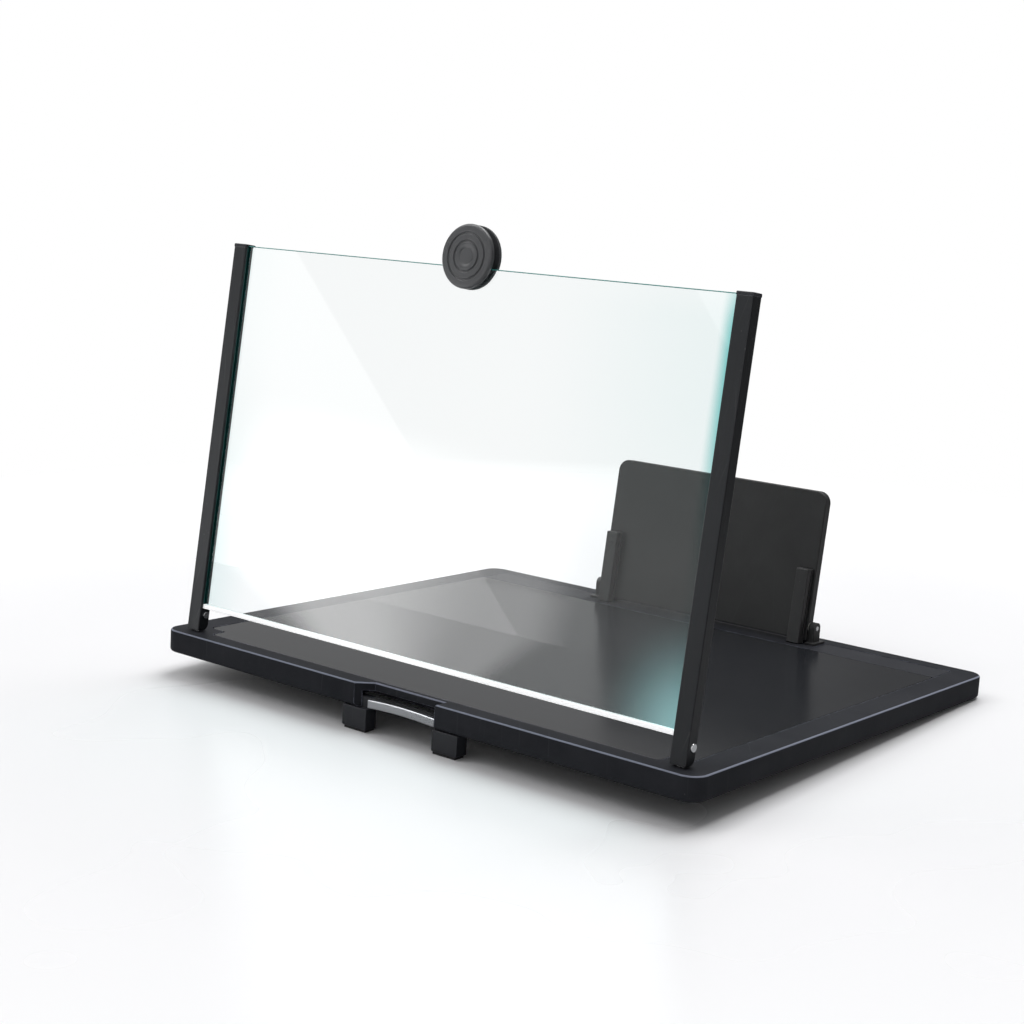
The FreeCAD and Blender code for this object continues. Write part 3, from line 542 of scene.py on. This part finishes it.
class PaneSettings(PropertyGroup):
    clear_colour: FloatVectorProperty(
        name="Clear", description="Body colour of the glass in the middle", subtype="COLOR",
        default=(0.965, 0.985, 0.985), min=0, max=1)
    teal_colour: FloatVectorProperty(
        name="Teal", description="Body colour of the glass at its sides and foot", subtype="COLOR",
        default=(0.05, 0.50, 0.48), min=0, max=1)
    arris: FloatProperty(
        name="Arris", description="Width of the ground bevel round the sheet", unit="LENGTH",
        default=0.35 * MM, min=0.05 * MM, max=1.0 * MM)
    guard_round: FloatProperty(
        name="Guard rounding", description="Edge radius of the white guard", unit="LENGTH",
        default=0.4 * MM, min=0.05 * MM, max=0.6 * MM)


class ClampSettings(PropertyGroup):
    sides: IntProperty(
        name="Sides", description="Faces round each disc", default=144, min=48, max=240)
    rim_round: FloatProperty(
        name="Rim rounding", description="Radius of the front disc's rim", unit="LENGTH",
        default=1.25 * MM, min=0.2 * MM, max=2.0 * MM)
    groove_width: FloatProperty(
        name="Groove width", description="Width of the two dark grooves", unit="LENGTH",
        default=0.95 * MM, min=0.3 * MM, max=2.0 * MM)
    groove_depth: FloatProperty(
        name="Groove depth", description="Depth of the two dark grooves", unit="LENGTH",
        default=0.55 * MM, min=0.1 * MM, max=1.5 * MM)
    flute_depth: FloatProperty(
        name="Flute depth", description="Depth of the fine ribs round the rear disc",
        unit="LENGTH", default=0.22 * MM, min=0.0, max=0.6 * MM)


class RestSettings(PropertyGroup):
    bar_chamfer: FloatProperty(
        name="Bar chamfer", description="Chamfer round the top of each bar", unit="LENGTH",
        default=0.7 * MM, min=0.1 * MM, max=1.5 * MM)
    bar_groove: FloatProperty(
        name="Bar groove", description="Depth of the groove down each flank", unit="LENGTH",
        default=0.8 * MM, min=0.1 * MM, max=1.5 * MM)


class StandSettings(PropertyGroup):
    rib_pitch: FloatProperty(
        name="Rib pitch", description="Distance between grip ribs on the web", unit="LENGTH",
        default=1.5 * MM, min=0.8 * MM, max=4.0 * MM)
    rib_height: FloatProperty(
        name="Rib height", description="Height of the grip ribs", unit="LENGTH",
        default=0.45 * MM, min=0.1 * MM, max=1.0 * MM)
    bar_round: FloatProperty(
        name="Bar rounding", description="Edge radius of the grip bar", unit="LENGTH",
        default=0.45 * MM, min=0.05 * MM, max=0.55 * MM)


class StageSettings(PropertyGroup):
    floor_size: FloatProperty(
        name="Floor size", description="Side of the pale floor", unit="LENGTH", default=12.0,
        min=1.0, max=40.0)
    floor_colour: FloatVectorProperty(
        name="Floor", description="Colour of the floor", subtype="COLOR",
        default=(0.90, 0.90, 0.915), min=0, max=1)
    daylight: FloatProperty(
        name="Surround", description="Brightness of the white surround", default=1.0, min=0, max=5)
    camera_place: FloatVectorProperty(
        name="Camera place", description="Where the camera stands", subtype="TRANSLATION",
        unit="LENGTH", default=(0.52783, -0.70629, 0.26360))
    camera_turn: FloatVectorProperty(
        name="Camera turn", description="How the camera is turned", subtype="EULER",
        default=(1.368765, -0.032044, 0.685098))
    camera_lens: FloatProperty(
        name="Lens", description="Focal length on a 36 mm wide sensor, in millimetres",
        default=67.156, min=20.0, max=200.0)


class PrompterSettings(PropertyGroup):
    finish: PointerProperty(type=FinishSettings, name="Finish", description="Colours")
    pane: PointerProperty(type=PaneSettings, name="Pane", description="Glass and its guard")
    clamp: PointerProperty(type=ClampSettings, name="Clamp", description="Clamp discs")
    rest: PointerProperty(type=RestSettings, name="Rest", description="Phone rest bars")
    stand: PointerProperty(type=StandSettings, name="Stand", description="Front stand")
    stage: PointerProperty(type=StageSettings, name="Stage", description="Floor, light, camera")


# ------------------------------------------------------------------ pieces
class PROMPTER_OT_case(Operator):
    """Finish the deck frame, its panel, the rear strips and the bottom cover"""
    bl_idname = "prompter.case"
    bl_label = "Finish Case"

    def execute(self, context):
        finish = context.scene.prompter.finish
        # the case's strong edge lightening is partly rubbed wear and partly a painted highlight
        # along its edges; its last argument adds a painted highlight band on the rounded top edges
        case = satin_plastic("case_plastic_satin", finish.case_colour, 0.48, pit=0.002, wear=0.9,
                             marks=0.25, lighter=18.0, specular=0.05, painted_highlight=0.8)
        dress(case, "deck_frame", "bottom_cover")
        # the strips get a fainter painted highlight band on their rounded top edges
        strip = satin_plastic("strip_plastic_satin", scaled(finish.case_colour, 1.15), 0.42,
                              pit=0.002, marks=0.25, specular=0.10, painted_highlight=0.4)
        dress(strip, "rear_strip_left", "rear_strip_right")
        panel = satin_plastic("panel_semi_gloss", finish.panel_colour, 0.20, grain=0.25, pit=0.0005,
                              wear=0.3, marks=0.12, mottle=0.03, specular=0.45)
        dress(panel, "deck_panel")
        return {"FINISHED"}


class PROMPTER_OT_pads(Operator):
    """Model the ring-grooved rubber pads under the back of the base"""
    bl_idname = "prompter.pads"
    bl_label = "Rear Pads"

    def execute(self, context):
        rubber = soft_rubber("pad_rubber", (0.018, 0.018, 0.019))
        low, high = extent("rear_pads", DECK)
        radius = (high.y - low.y) / 2
        bm = bmesh.new()
        for x in (low.x + radius, high.x - radius):
            pad = disc_blank(radius, high.z - low.z, 72)
            face = cap_face(pad, -1)
            step_in(pad, face, 0.35 * MM)
            for _ in range(3):
                step_in(pad, face, 0.9 * MM)
                step_in(pad, face, 0.15 * MM, 0.35 * MM)
                step_in(pad, face, 0.6 * MM)
                step_in(pad, face, 0.15 * MM, -0.35 * MM)
            bmesh.ops.translate(pad, vec=(x, (low.y + high.y) / 2, low.z), verts=pad.verts)
            half = bpy.data.meshes.new("pad_half")
            pad.to_mesh(half)
            pad.free()
            bm.from_mesh(half)
            bpy.data.meshes.remove(half)
        floor = DECK.transposed() @ Vector((0, 0, 1))
        cut = split(bm, (0, 0, 0), -floor, clear_outer=True)
        rim = [e for e in cut["geom_cut"] if isinstance(e, bmesh.types.BMEdge)]
        bmesh.ops.holes_fill(bm, edges=rim, sides=0)
        finish_piece("rear_foot_pads", bm, DECK, "base", [rubber], ["rear_pads"])
        return {"FINISHED"}


class PROMPTER_OT_glass(Operator):
    """Model the glass sheet with its ground edges and the glazing strips' finish"""
    bl_idname = "prompter.glass"
    bl_label = "Glass Pane"

    def execute(self, context):
        pane = context.scene.prompter.pane
        sheet = coated_glass("pane_glass_coated_painted_glow", pane.clear_colour, pane.teal_colour)
        edge = satin_plastic("pane_ground_edge", (0.03, 0.24, 0.22), 0.35, grain=0.2, wear=0.0,
                             marks=0.1)
        bm = block(*extent("glass_pane", PANE))
        soften(bm, bm.edges[:], pane.arris, 2)
        for face in bm.faces:
            face.material_index = 0 if abs(face.normal.y) > 0.99 else 1
        finish_piece("pane_sheet", bm, PANE, "pane", [sheet, edge], ["glass_pane"])
        liner = satin_plastic("glazing_rubber_teal", (0.012, 0.075, 0.072), 0.45, grain=0.3,
                              wear=0.2, marks=0.2)
        dress(liner, "glazing_strip_left", "glazing_strip_right")
        return {"FINISHED"}


class PROMPTER_OT_guard(Operator):
    """Model the white guard pushed over the glass's lower edge; it has a painted glow"""
    bl_idname = "prompter.guard"
    bl_label = "Edge Guard"

    def execute(self, context):
        white = satin_plastic("guard_white_vinyl_painted_glow", (0.95, 0.95, 0.96), 0.28, grain=0.4, pit=0.01,
                              wear=0.2, marks=0.25, mottle=0.03, coat=0.3, lighter=1.05)
        # painted glow: the white guard emits light though it is no lamp
        lit = next(node for node in white.node_tree.nodes if node.type == "BSDF_PRINCIPLED")
        lit.inputs["Emission Color"].default_value = WHITE
        lit.inputs["Emission Strength"].default_value = 0.35
        low, high = extent("glass_edge_guard", PANE)
        glass_low, glass_high = extent("glass_pane", PANE)
        bm = block(low, high)
        long_edges = [e for e in bm.edges if abs(e.verts[0].co.x - e.verts[1].co.x) > 0.1]
        soften(bm, long_edges, context.scene.prompter.pane.guard_round, 4)
        for n in (glass_low.y, glass_high.y):
            split(bm, (0, n, 0), (0, 1, 0))
        slot = [f for f in bm.faces if f.normal.z > 0.9
                and glass_low.y < f.calc_center_median().y < glass_high.y]
        raise_faces(bm, slot, (0, 0, glass_low.z - high.z))
        finish_piece("pane_edge_guard", bm, PANE, "pane", [white],
                     ["glass_edge_guard"])
        return {"FINISHED"}


class PROMPTER_OT_posts(Operator):
    """Finish the posts, their caps and the friction washers"""
    bl_idname = "prompter.posts"
    bl_label = "Finish Posts"

    def execute(self, context):
        finish = context.scene.prompter.finish
        lean = math.atan2(PANE.col[2].y, PANE.col[2].z)
        metal = drawn_metal("post_anodised", finish.post_colour, 0.34, metallic=0.4,
                            turn=(lean, 0, 0), lighter=3.0)
        dress(metal, "post_left", "post_right")
        cap = satin_plastic("cap_plastic_satin", scaled(finish.case_colour, 1.2), 0.40)
        dress(cap, "post_cap_left", "post_cap_right")
        nylon = satin_plastic("washer_nylon_natural", (0.62, 0.61, 0.57), 0.5, lighter=1.1)
        dress(nylon, "pane_friction_washers", "rest_friction_washers")
        return {"FINISHED"}


class PROMPTER_OT_steel(Operator):
    """Finish the pins, screws, lugs and the stiffener sheet"""
    bl_idname = "prompter.steel"
    bl_label = "Finish Steel"

    def execute(self, context):
        bright = drawn_metal("pin_bright_steel", (0.72, 0.73, 0.75), 0.18, strength=0.2, wear=0.2,
                             lighter=1.2)
        dress(bright, "pane_hinge_pins", "rest_hinge_pins", "stand_pins", "clamp_screw")
        black = drawn_metal("screw_black_oxide", (0.10, 0.10, 0.11), 0.34, strength=0.3, wear=0.7,
                            lighter=4.0)
        dress(black, "case_screws", "pane_lug_screws", "rest_lug_screws", "rest_bar_screws")
        zinc = drawn_metal("sheet_zinc_plated", (0.46, 0.47, 0.49), 0.34, spacing=0.5)
        dress(zinc, "stiffener_plate", "pane_lug_left", "pane_lug_right")
        rest = context.scene.prompter.finish.rest_colour
        dark = satin_plastic("lug_painted_steel", scaled(rest, 1.1), 0.38)
        dress(dark, "rest_lug_left", "rest_lug_right")
        return {"FINISHED"}


class PROMPTER_OT_clamp(Operator):
    """Model the grooved front disc and the fluted rear disc of the clamp"""
    bl_idname = "prompter.clamp"
    bl_label = "Clamp Discs"

    def turned(self, node, sign):
        """Radius, thickness, place and turn of a disc; sign is -1 if its face looks forward."""
        low, high = extent(node, PANE)
        radius = (high.x - low.x) / 2
        depth = high.y - low.y
        centre = Vector(((low.x + high.x) / 2, high.y if sign < 0 else low.y,
                         (low.z + high.z) / 2))
        facing = Matrix.Rotation(math.radians(90 * -sign), 3, "X")
        return radius, depth, centre, facing

    def execute(self, context):
        clamp = context.scene.prompter.clamp
        finish = context.scene.prompter.finish
        satin = satin_plastic("knob_satin_black", finish.knob_colour, 0.36, pit=0.004, wear=0.5,
                              specular=0.5)
        radius, depth, centre, facing = self.turned("clamp_front_disc", -1)
        bm = disc_blank(radius, depth, clamp.sides)
        face = cap_face(bm, 1)
        width, drop = clamp.groove_width, clamp.groove_depth
        rims = [(radius, depth), (radius, 0.0)]
        ring = radius
        for inner in (0.717, 0.47):
            ring_to = inner * radius + width / 2
            step_in(bm, face, ring - ring_to)
            step_in(bm, face, 0.05 * MM, -drop)
            step_in(bm, face, width - 0.10 * MM)
            step_in(bm, face, 0.05 * MM, drop)
            rims += [(ring_to, depth), (ring_to - width, depth)]
            ring = ring_to - width
        step_in(bm, face, ring - 0.27 * radius)
        step_in(bm, face, 0.12 * MM, -0.14 * MM)
        step_in(bm, face, 0.42 * MM)
        step_in(bm, face, 0.12 * MM, 0.14 * MM)
        soften(bm, ring_edges(bm, rims[:1]), clamp.rim_round, 6)
        soften(bm, ring_edges(bm, rims[1:2]), 0.4 * MM, 3)
        soften(bm, ring_edges(bm, rims[2:]), 0.22 * MM, 3)
        self.place("clamp_knob_disc", bm, facing, centre, "clamp_knob", satin, "clamp_front_disc")

        radius, depth, centre, facing = self.turned("clamp_rear_disc", 1)
        bm = disc_blank(radius, depth, clamp.sides)
        upright = [e for e in bm.edges if abs(e.verts[0].co.z - e.verts[1].co.z) > depth / 2]
        bmesh.ops.subdivide_edges(bm, edges=upright, cuts=3)
        for vert in bm.verts:
            inside = 0.15 * depth < vert.co.z < 0.85 * depth
            step = round(math.degrees(math.atan2(vert.co.y, vert.co.x)) * clamp.sides / 360)
            if inside and step % 2:
                vert.co.xy *= 1 - clamp.flute_depth / radius
        face = cap_face(bm, 1)
        step_in(bm, face, 3.2 * MM)
        step_in(bm, face, 0.3 * MM, -0.35 * MM)
        soften(bm, ring_edges(bm, [(radius, depth)]), 0.5 * MM, 3)
        self.place("clamp_back_disc", bm, facing, centre, "pane", satin, "clamp_rear_disc")
        dress(satin, "clamp_spacer")
        rubber = soft_rubber("clamp_pad_rubber", (0.02, 0.02, 0.021))
        dress(rubber, "clamp_pads")
        return {"FINISHED"}

    def place(self, name, bm, facing, centre, body, material, node):
        """Turns a disc to face its way, sets it on the clamp's axis and finishes it."""
        bmesh.ops.rotate(bm, verts=bm.verts, cent=(0, 0, 0), matrix=facing)
        bmesh.ops.translate(bm, verts=bm.verts, vec=centre)
        finish_piece(name, bm, PANE, body, [material], [node])


class PROMPTER_OT_rest(Operator):
    """Finish the phone rest's plate and model its two grooved bars"""
    bl_idname = "prompter.rest"
    bl_label = "Phone Rest"

    def execute(self, context):
        settings = context.scene.prompter.rest
        colour = context.scene.prompter.finish.rest_colour
        plate = satin_plastic("rest_plate_satin", colour, 0.38, pit=0.004, marks=0.12)
        dress(plate, "rest_plate")
        bar_skin = satin_plastic("rest_bar_satin", scaled(colour, 1.5), 0.38, pit=0.004, wear=0.7)
        for side in ("left", "right"):
            node = "rest_bar_" + side
            low, high = extent(node, REST)
            bm = block(low, high)
            depth = high.y - low.y
            for share in (0.56, 0.76):
                split(bm, (0, low.y + share * depth, 0), (0, 1, 0))
            foot = low.z + 3.0 * MM
            split(bm, (0, 0, foot), (0, 0, 1))
            for sign in (-1, 1):
                flank = [f for f in bm.faces if f.normal.x * sign > 0.9
                         and low.y + 0.6 * depth < f.calc_center_median().y < low.y + 0.72 * depth
                         and f.calc_center_median().z > foot]
                raise_faces(bm, flank, (-sign * settings.bar_groove, 0, 0))
            crown = [e for e in bm.edges if all(abs(v.co.z - high.z) < 1e-6 for v in e.verts)
                     and any(abs(f.normal.y) > 0.9 or abs(f.normal.x) > 0.9 for f in e.link_faces)
                     and len(e.link_faces) == 2 and e.calc_face_angle(0) > 1.0]
            front = [e for e in bm.edges if all(abs(v.co.y - low.y) < 1e-6 for v in e.verts)
                     and abs(e.verts[0].co.z - e.verts[1].co.z) > 1e-6]
            soften(bm, crown + front, settings.bar_chamfer, 2)
            finish_piece("phone_bar_" + side, bm, REST, "phone_rest", [bar_skin],
                         [node])
        return {"FINISHED"}


class PROMPTER_OT_stand(Operator):
    """Finish the stand, and model its silver grip bar and the ribs behind it"""
    bl_idname = "prompter.stand"
    bl_label = "Front Stand"

    def execute(self, context):
        stand = context.scene.prompter.stand
        finish = context.scene.prompter.finish
        frame_skin = satin_plastic("stand_plastic_satin", scaled(finish.case_colour, 1.05), 0.42)
        dress(frame_skin, "stand_frame")
        silver = drawn_metal("grip_satin_silver", finish.grip_colour, 0.28, spacing=0.25,
                             strength=0.35, turn=(0, math.radians(90), 0), wear=0.3, lighter=1.3)
        low, high = extent("stand_bar", DECK)
        ends = self.bar_ends("stand_bar")
        arch = (high.z - low.z) - ends
        bm = block(Vector((low.x, low.y, low.z)), Vector((high.x, high.y, low.z + ends)))
        long_edges = [e for e in bm.edges if abs(e.verts[0].co.x - e.verts[1].co.x) > 0.02]
        bmesh.ops.subdivide_edges(bm, edges=long_edges, cuts=40)
        half = (high.x - low.x) / 2
        for vert in bm.verts:
            vert.co.z += arch * (1 - (vert.co.x / half) ** 2)
        rails = [e for e in bm.edges if abs(e.verts[0].co.x - e.verts[1].co.x) > 1e-5
                 and e.calc_face_angle(0) > 1.0]
        soften(bm, rails, stand.bar_round, 4)
        finish_piece("stand_grip_bar", bm, DECK, "front_stand", [silver],
                     ["stand_bar"])
        self.ribs(stand, low, high, ends)
        dress(soft_rubber("tip_rubber", (0.018, 0.018, 0.019)), "stand_tips")
        return {"FINISHED"}

    def bar_ends(self, node):
        """Height of the bar at its ends, where it doesn't arch."""
        points = [DECK.transposed() @ v.co for v in frame["nodes"][node].data.vertices]
        reach = max(p.x for p in points)
        at_end = [p.z for p in points if p.x > reach - 0.05 * MM]
        return max(at_end) - min(at_end)

    def ribs(self, stand, low, high, ends):
        """Rubber ribs across the top of the web, behind the grip bar."""
        web_low, web_high = extent("stand_frame", DECK)
        skin = soft_rubber("web_rib_rubber", (0.022, 0.023, 0.025), 0.62)
        floor_z = low.z + ends + 0.5 * MM
        inner = high.x - 1.0 * MM
        bm = bmesh.new()
        count = int(2 * inner / stand.rib_pitch)
        start = -stand.rib_pitch * (count - 1) / 2
        for i in range(count):
            made = bmesh.ops.create_cube(bm, size=1.0)["verts"]
            bmesh.ops.scale(bm, vec=(0.5 * stand.rib_pitch, web_high.y - high.y - 1.2 * MM,
                                     stand.rib_height), verts=made)
            bmesh.ops.translate(bm, vec=(start + i * stand.rib_pitch, (web_high.y + high.y) / 2,
                                         floor_z + stand.rib_height / 2 - 0.05 * MM), verts=made)
        crests = [e for e in bm.edges if max(v.co.z for v in e.verts) > floor_z + 0.2 * MM
                  and e.calc_face_angle(0) > 1.0]
        soften(bm, crests, 0.12 * MM, 2)
        finish_piece("stand_web_ribs", bm, DECK, "front_stand", [skin])


class PROMPTER_OT_stage(Operator):
    """Lay the floor, hang the soft lights and place the camera"""
    bl_idname = "prompter.stage"
    bl_label = "Stage"

    def execute(self, context):
        stage = context.scene.prompter.stage
        self.lay_floor(context, stage)
        self.hang_lights(context)
        self.white_surround(context, stage)
        lens = bpy.data.cameras.new("front_camera")
        lens.lens = stage.camera_lens
        lens.sensor_width = 36.0
        lens.clip_start = 0.01
        camera = bpy.data.objects.new("front_camera", lens)
        context.scene.collection.objects.link(camera)
        camera.matrix_world = Matrix.LocRotScale(Vector(stage.camera_place),
                                                 Euler(stage.camera_turn), None)
        context.scene.camera = camera
        context.scene.view_settings.view_transform = "Standard"
        return {"FINISHED"}

    def lay_floor(self, context, stage):
        """Pale floor that turns to plain white away from the object; open from below."""
        material, tree, where, shader, out = new_material("floor_pale")
        cloud = noise(tree, where, 3.0, 3.0)
        shine = calc(tree, "MULTIPLY_ADD", cloud, 0.06, 0.24)
        flat = size_of(tree, where)
        away = fade(tree, flat, *WHITE_FROM)
        path = put(tree, "LightPath").outputs
        mirrored = calc(tree, "SUBTRACT", path["Is Glossy Ray"], path["Is Transmission Ray"])
        colour = tint(tree, fade(tree, cloud, 0.35, 0.65, 0.0, 0.02), rgba(stage.floor_colour),
                      (0.8, 0.8, 0.82, 1.0))
        colour = tint(tree, away, colour, BLACK)
        colour = tint(tree, product(tree, mirrored, 0.62), colour, BLACK)
        spot = put(tree, "SeparateXYZ", {"Vector": where}).outputs
        forward = calc(tree, "SUBTRACT", spot["Y"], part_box("glass_pane")[0].y)
        sheen = self.low_sheen(tree, calc(tree, "ARCTAN2", forward, spot["X"]))
        for key, socket in (("Base Color", colour), ("Roughness", shine),
                            ("Specular IOR Level", fade(tree, flat, *WHITE_FROM, 0.5, 0.0)),
                            ("Emission Color", tint(tree, away, BLACK, WHITE)),
                            ("Emission Strength", either(tree, mirrored, 1.0, sheen))):
            tree.links.new(socket, shader.inputs[key])
        below = put(tree, "NewGeometry").outputs["Backfacing"]
        clear = put(tree, "BsdfTransparent")
        seen = put(tree, "MixShader", {0: below, 1: shader.outputs["BSDF"],
                                       2: clear.outputs["BSDF"]})
        tree.links.new(seen.outputs["Shader"], out.inputs["Surface"])
        bm = bmesh.new()
        bmesh.ops.create_grid(bm, x_segments=2, y_segments=2, size=stage.floor_size / 2)
        mesh = bpy.data.meshes.new("floor")
        bm.to_mesh(mesh)
        bm.free()
        mesh.materials.append(material)
        floor = bpy.data.objects.new("floor", mesh)
        context.scene.collection.objects.link(floor)

    def low_sheen(self, tree, swing):
        """Bright table in front of the object and to its left, as glossy faces mirror it."""
        return product(tree, swing_fade(tree, swing, -132.5, -128, 7.6, 3.0),
                       swing_fade(tree, swing, -127.0, -125.2, 1.0, 0.05),
                       swing_fade(tree, swing, -137, -134, 0.1, 1.0))

    def hang_lights(self, context):
        """Softboxes: place, target, width, height, power in watts, and the long side's normal."""
        slanted = (0.633, -0.13, -0.763)
        lights = (
            ("overhead_softbox", (-0.15, 0.90, 2.00), (0.0, 0.05, 0.0), 1.5, 1.5, 46.0, (0, 0, 1)),
            ("left_softbox", (-1.55, -1.09, 0.06), (-0.07, -0.10, 0.15), 1.0, 2.2, 2.2, slanted),
            ("front_softbox", (-0.25, -1.55, 0.95), (0.12, -0.10, 0.18), 0.6, 1.6, 1.0, slanted),
        )
        for name, place, target, width, height, power, edge in lights:
            lamp = bpy.data.lights.new(name, "AREA")
            lamp.shape = "RECTANGLE"
            lamp.size, lamp.size_y = width, height
            lamp.energy = power
            holder = bpy.data.objects.new(name, lamp)
            context.scene.collection.objects.link(holder)
            back = (Vector(place) - Vector(target)).normalized()
            side = Vector(edge).cross(back).normalized() if back.z < 0.8 else Vector((1, 0, 0))
            turn = Matrix((side, back.cross(side), back)).transposed()
            holder.matrix_world = Matrix.Translation(place) @ turn.to_4x4()
            holder.visible_camera = False
            holder.visible_transmission = False
            holder.visible_glossy = name == "overhead_softbox"

    def white_surround(self, context, stage):
        """White to the eye; mirrored, it is dimmer in front so satin plastic keeps its depth."""
        world = bpy.data.worlds.new("white_surround")
        context.scene.world = world
        world.use_nodes = True
        tree = world.node_tree
        tree.nodes.clear()
        way = put(tree, "TexCoord").outputs["Generated"]
        parts = put(tree, "SeparateXYZ", {"Vector": way}).outputs
        swing = calc(tree, "ARCTAN2", parts["Y"], parts["X"])
        behind = product(tree, swing_fade(tree, swing, 117, 125, 0.10, 0.38),
                         swing_fade(tree, swing, 150, 180, 1.0, 0.0))
        above = product(tree, fade(tree, parts["Z"], 0.1, 0.9), 0.35)
        ahead = fade(tree, parts["Y"], -0.2, -0.4)
        across = dot(tree, way, (0.578, -0.44, 0.6873))
        card = product(tree, fade(tree, across, 0.0, -0.002), ahead,
                       fade(tree, across, -0.03, -0.085, 1.1, 0.55))
        corner = fade(tree, dot(tree, way, (0.6893, -0.3161, 0.6519)), 0.0, 0.002)
        card = calc(tree, "MAXIMUM", card, product(tree, corner, ahead, 0.9))
        low = product(tree, self.low_sheen(tree, swing), fade(tree, parts["Z"], 0.09, 0.035), ahead)
        strip = fade(tree, dot(tree, way, (-0.61, -0.2, 0.765)), 0.90, 0.96, 0.0, 4.0)
        sheen = behind
        for part in (above, card, low, strip):
            sheen = calc(tree, "ADD", sheen, part)
        path = put(tree, "LightPath").outputs
        direct = calc(tree, "MAXIMUM", path["Is Camera Ray"], path["Is Transmission Ray"])
        ambient = fade(tree, parts["Z"], -0.1, 0.8, 0.05, 0.30)
        level = either(tree, path["Is Diffuse Ray"], sheen, ambient)
        level = either(tree, direct, level, 1.0)
        power = product(tree, level, stage.daylight)
        glow = put(tree, "Background", {"Color": WHITE, "Strength": power})
        put(tree, "OutputWorld", {"Surface": glow.outputs["Background"]})


PIECES = (PROMPTER_OT_case, PROMPTER_OT_pads, PROMPTER_OT_glass, PROMPTER_OT_guard,
          PROMPTER_OT_posts, PROMPTER_OT_steel, PROMPTER_OT_clamp, PROMPTER_OT_rest,
          PROMPTER_OT_stand, PROMPTER_OT_stage)


class PROMPTER_PT_sidebar(Panel):
    """The teleprompter's pieces and settings"""
    bl_idname = "PROMPTER_PT_sidebar"
    bl_label = "Tabletop Teleprompter"
    bl_space_type = "VIEW_3D"
    bl_region_type = "UI"
    bl_category = "Prompter"

    def draw(self, context):
        column = self.layout.column()
        for piece in PIECES:
            column.operator(piece.bl_idname)
        settings = context.scene.prompter
        for name in ("finish", "pane", "clamp", "rest", "stand", "stage"):
            group = getattr(settings, name)
            box = self.layout.box()
            for prop in group.bl_rna.properties:
                if prop.identifier not in ("rna_type", "name"):
                    box.prop(group, prop.identifier)


CLASSES = (FinishSettings, PaneSettings, ClampSettings, RestSettings, StandSettings, StageSettings,
           PrompterSettings, *PIECES, PROMPTER_PT_sidebar)


def register():
    for cls in CLASSES:
        bpy.utils.register_class(cls)
    bpy.types.Scene.prompter = PointerProperty(type=PrompterSettings)


def unregister():
    del bpy.types.Scene.prompter
    for cls in reversed(CLASSES):
        bpy.utils.unregister_class(cls)


def main():
    register()
    bpy.ops.prompter.case()
    bpy.ops.prompter.pads()
    bpy.ops.prompter.glass()
    bpy.ops.prompter.guard()
    bpy.ops.prompter.posts()
    bpy.ops.prompter.steel()
    bpy.ops.prompter.clamp()
    bpy.ops.prompter.rest()
    bpy.ops.prompter.stand()
    bpy.ops.prompter.stage()


if __name__ == "__main__":
    main()
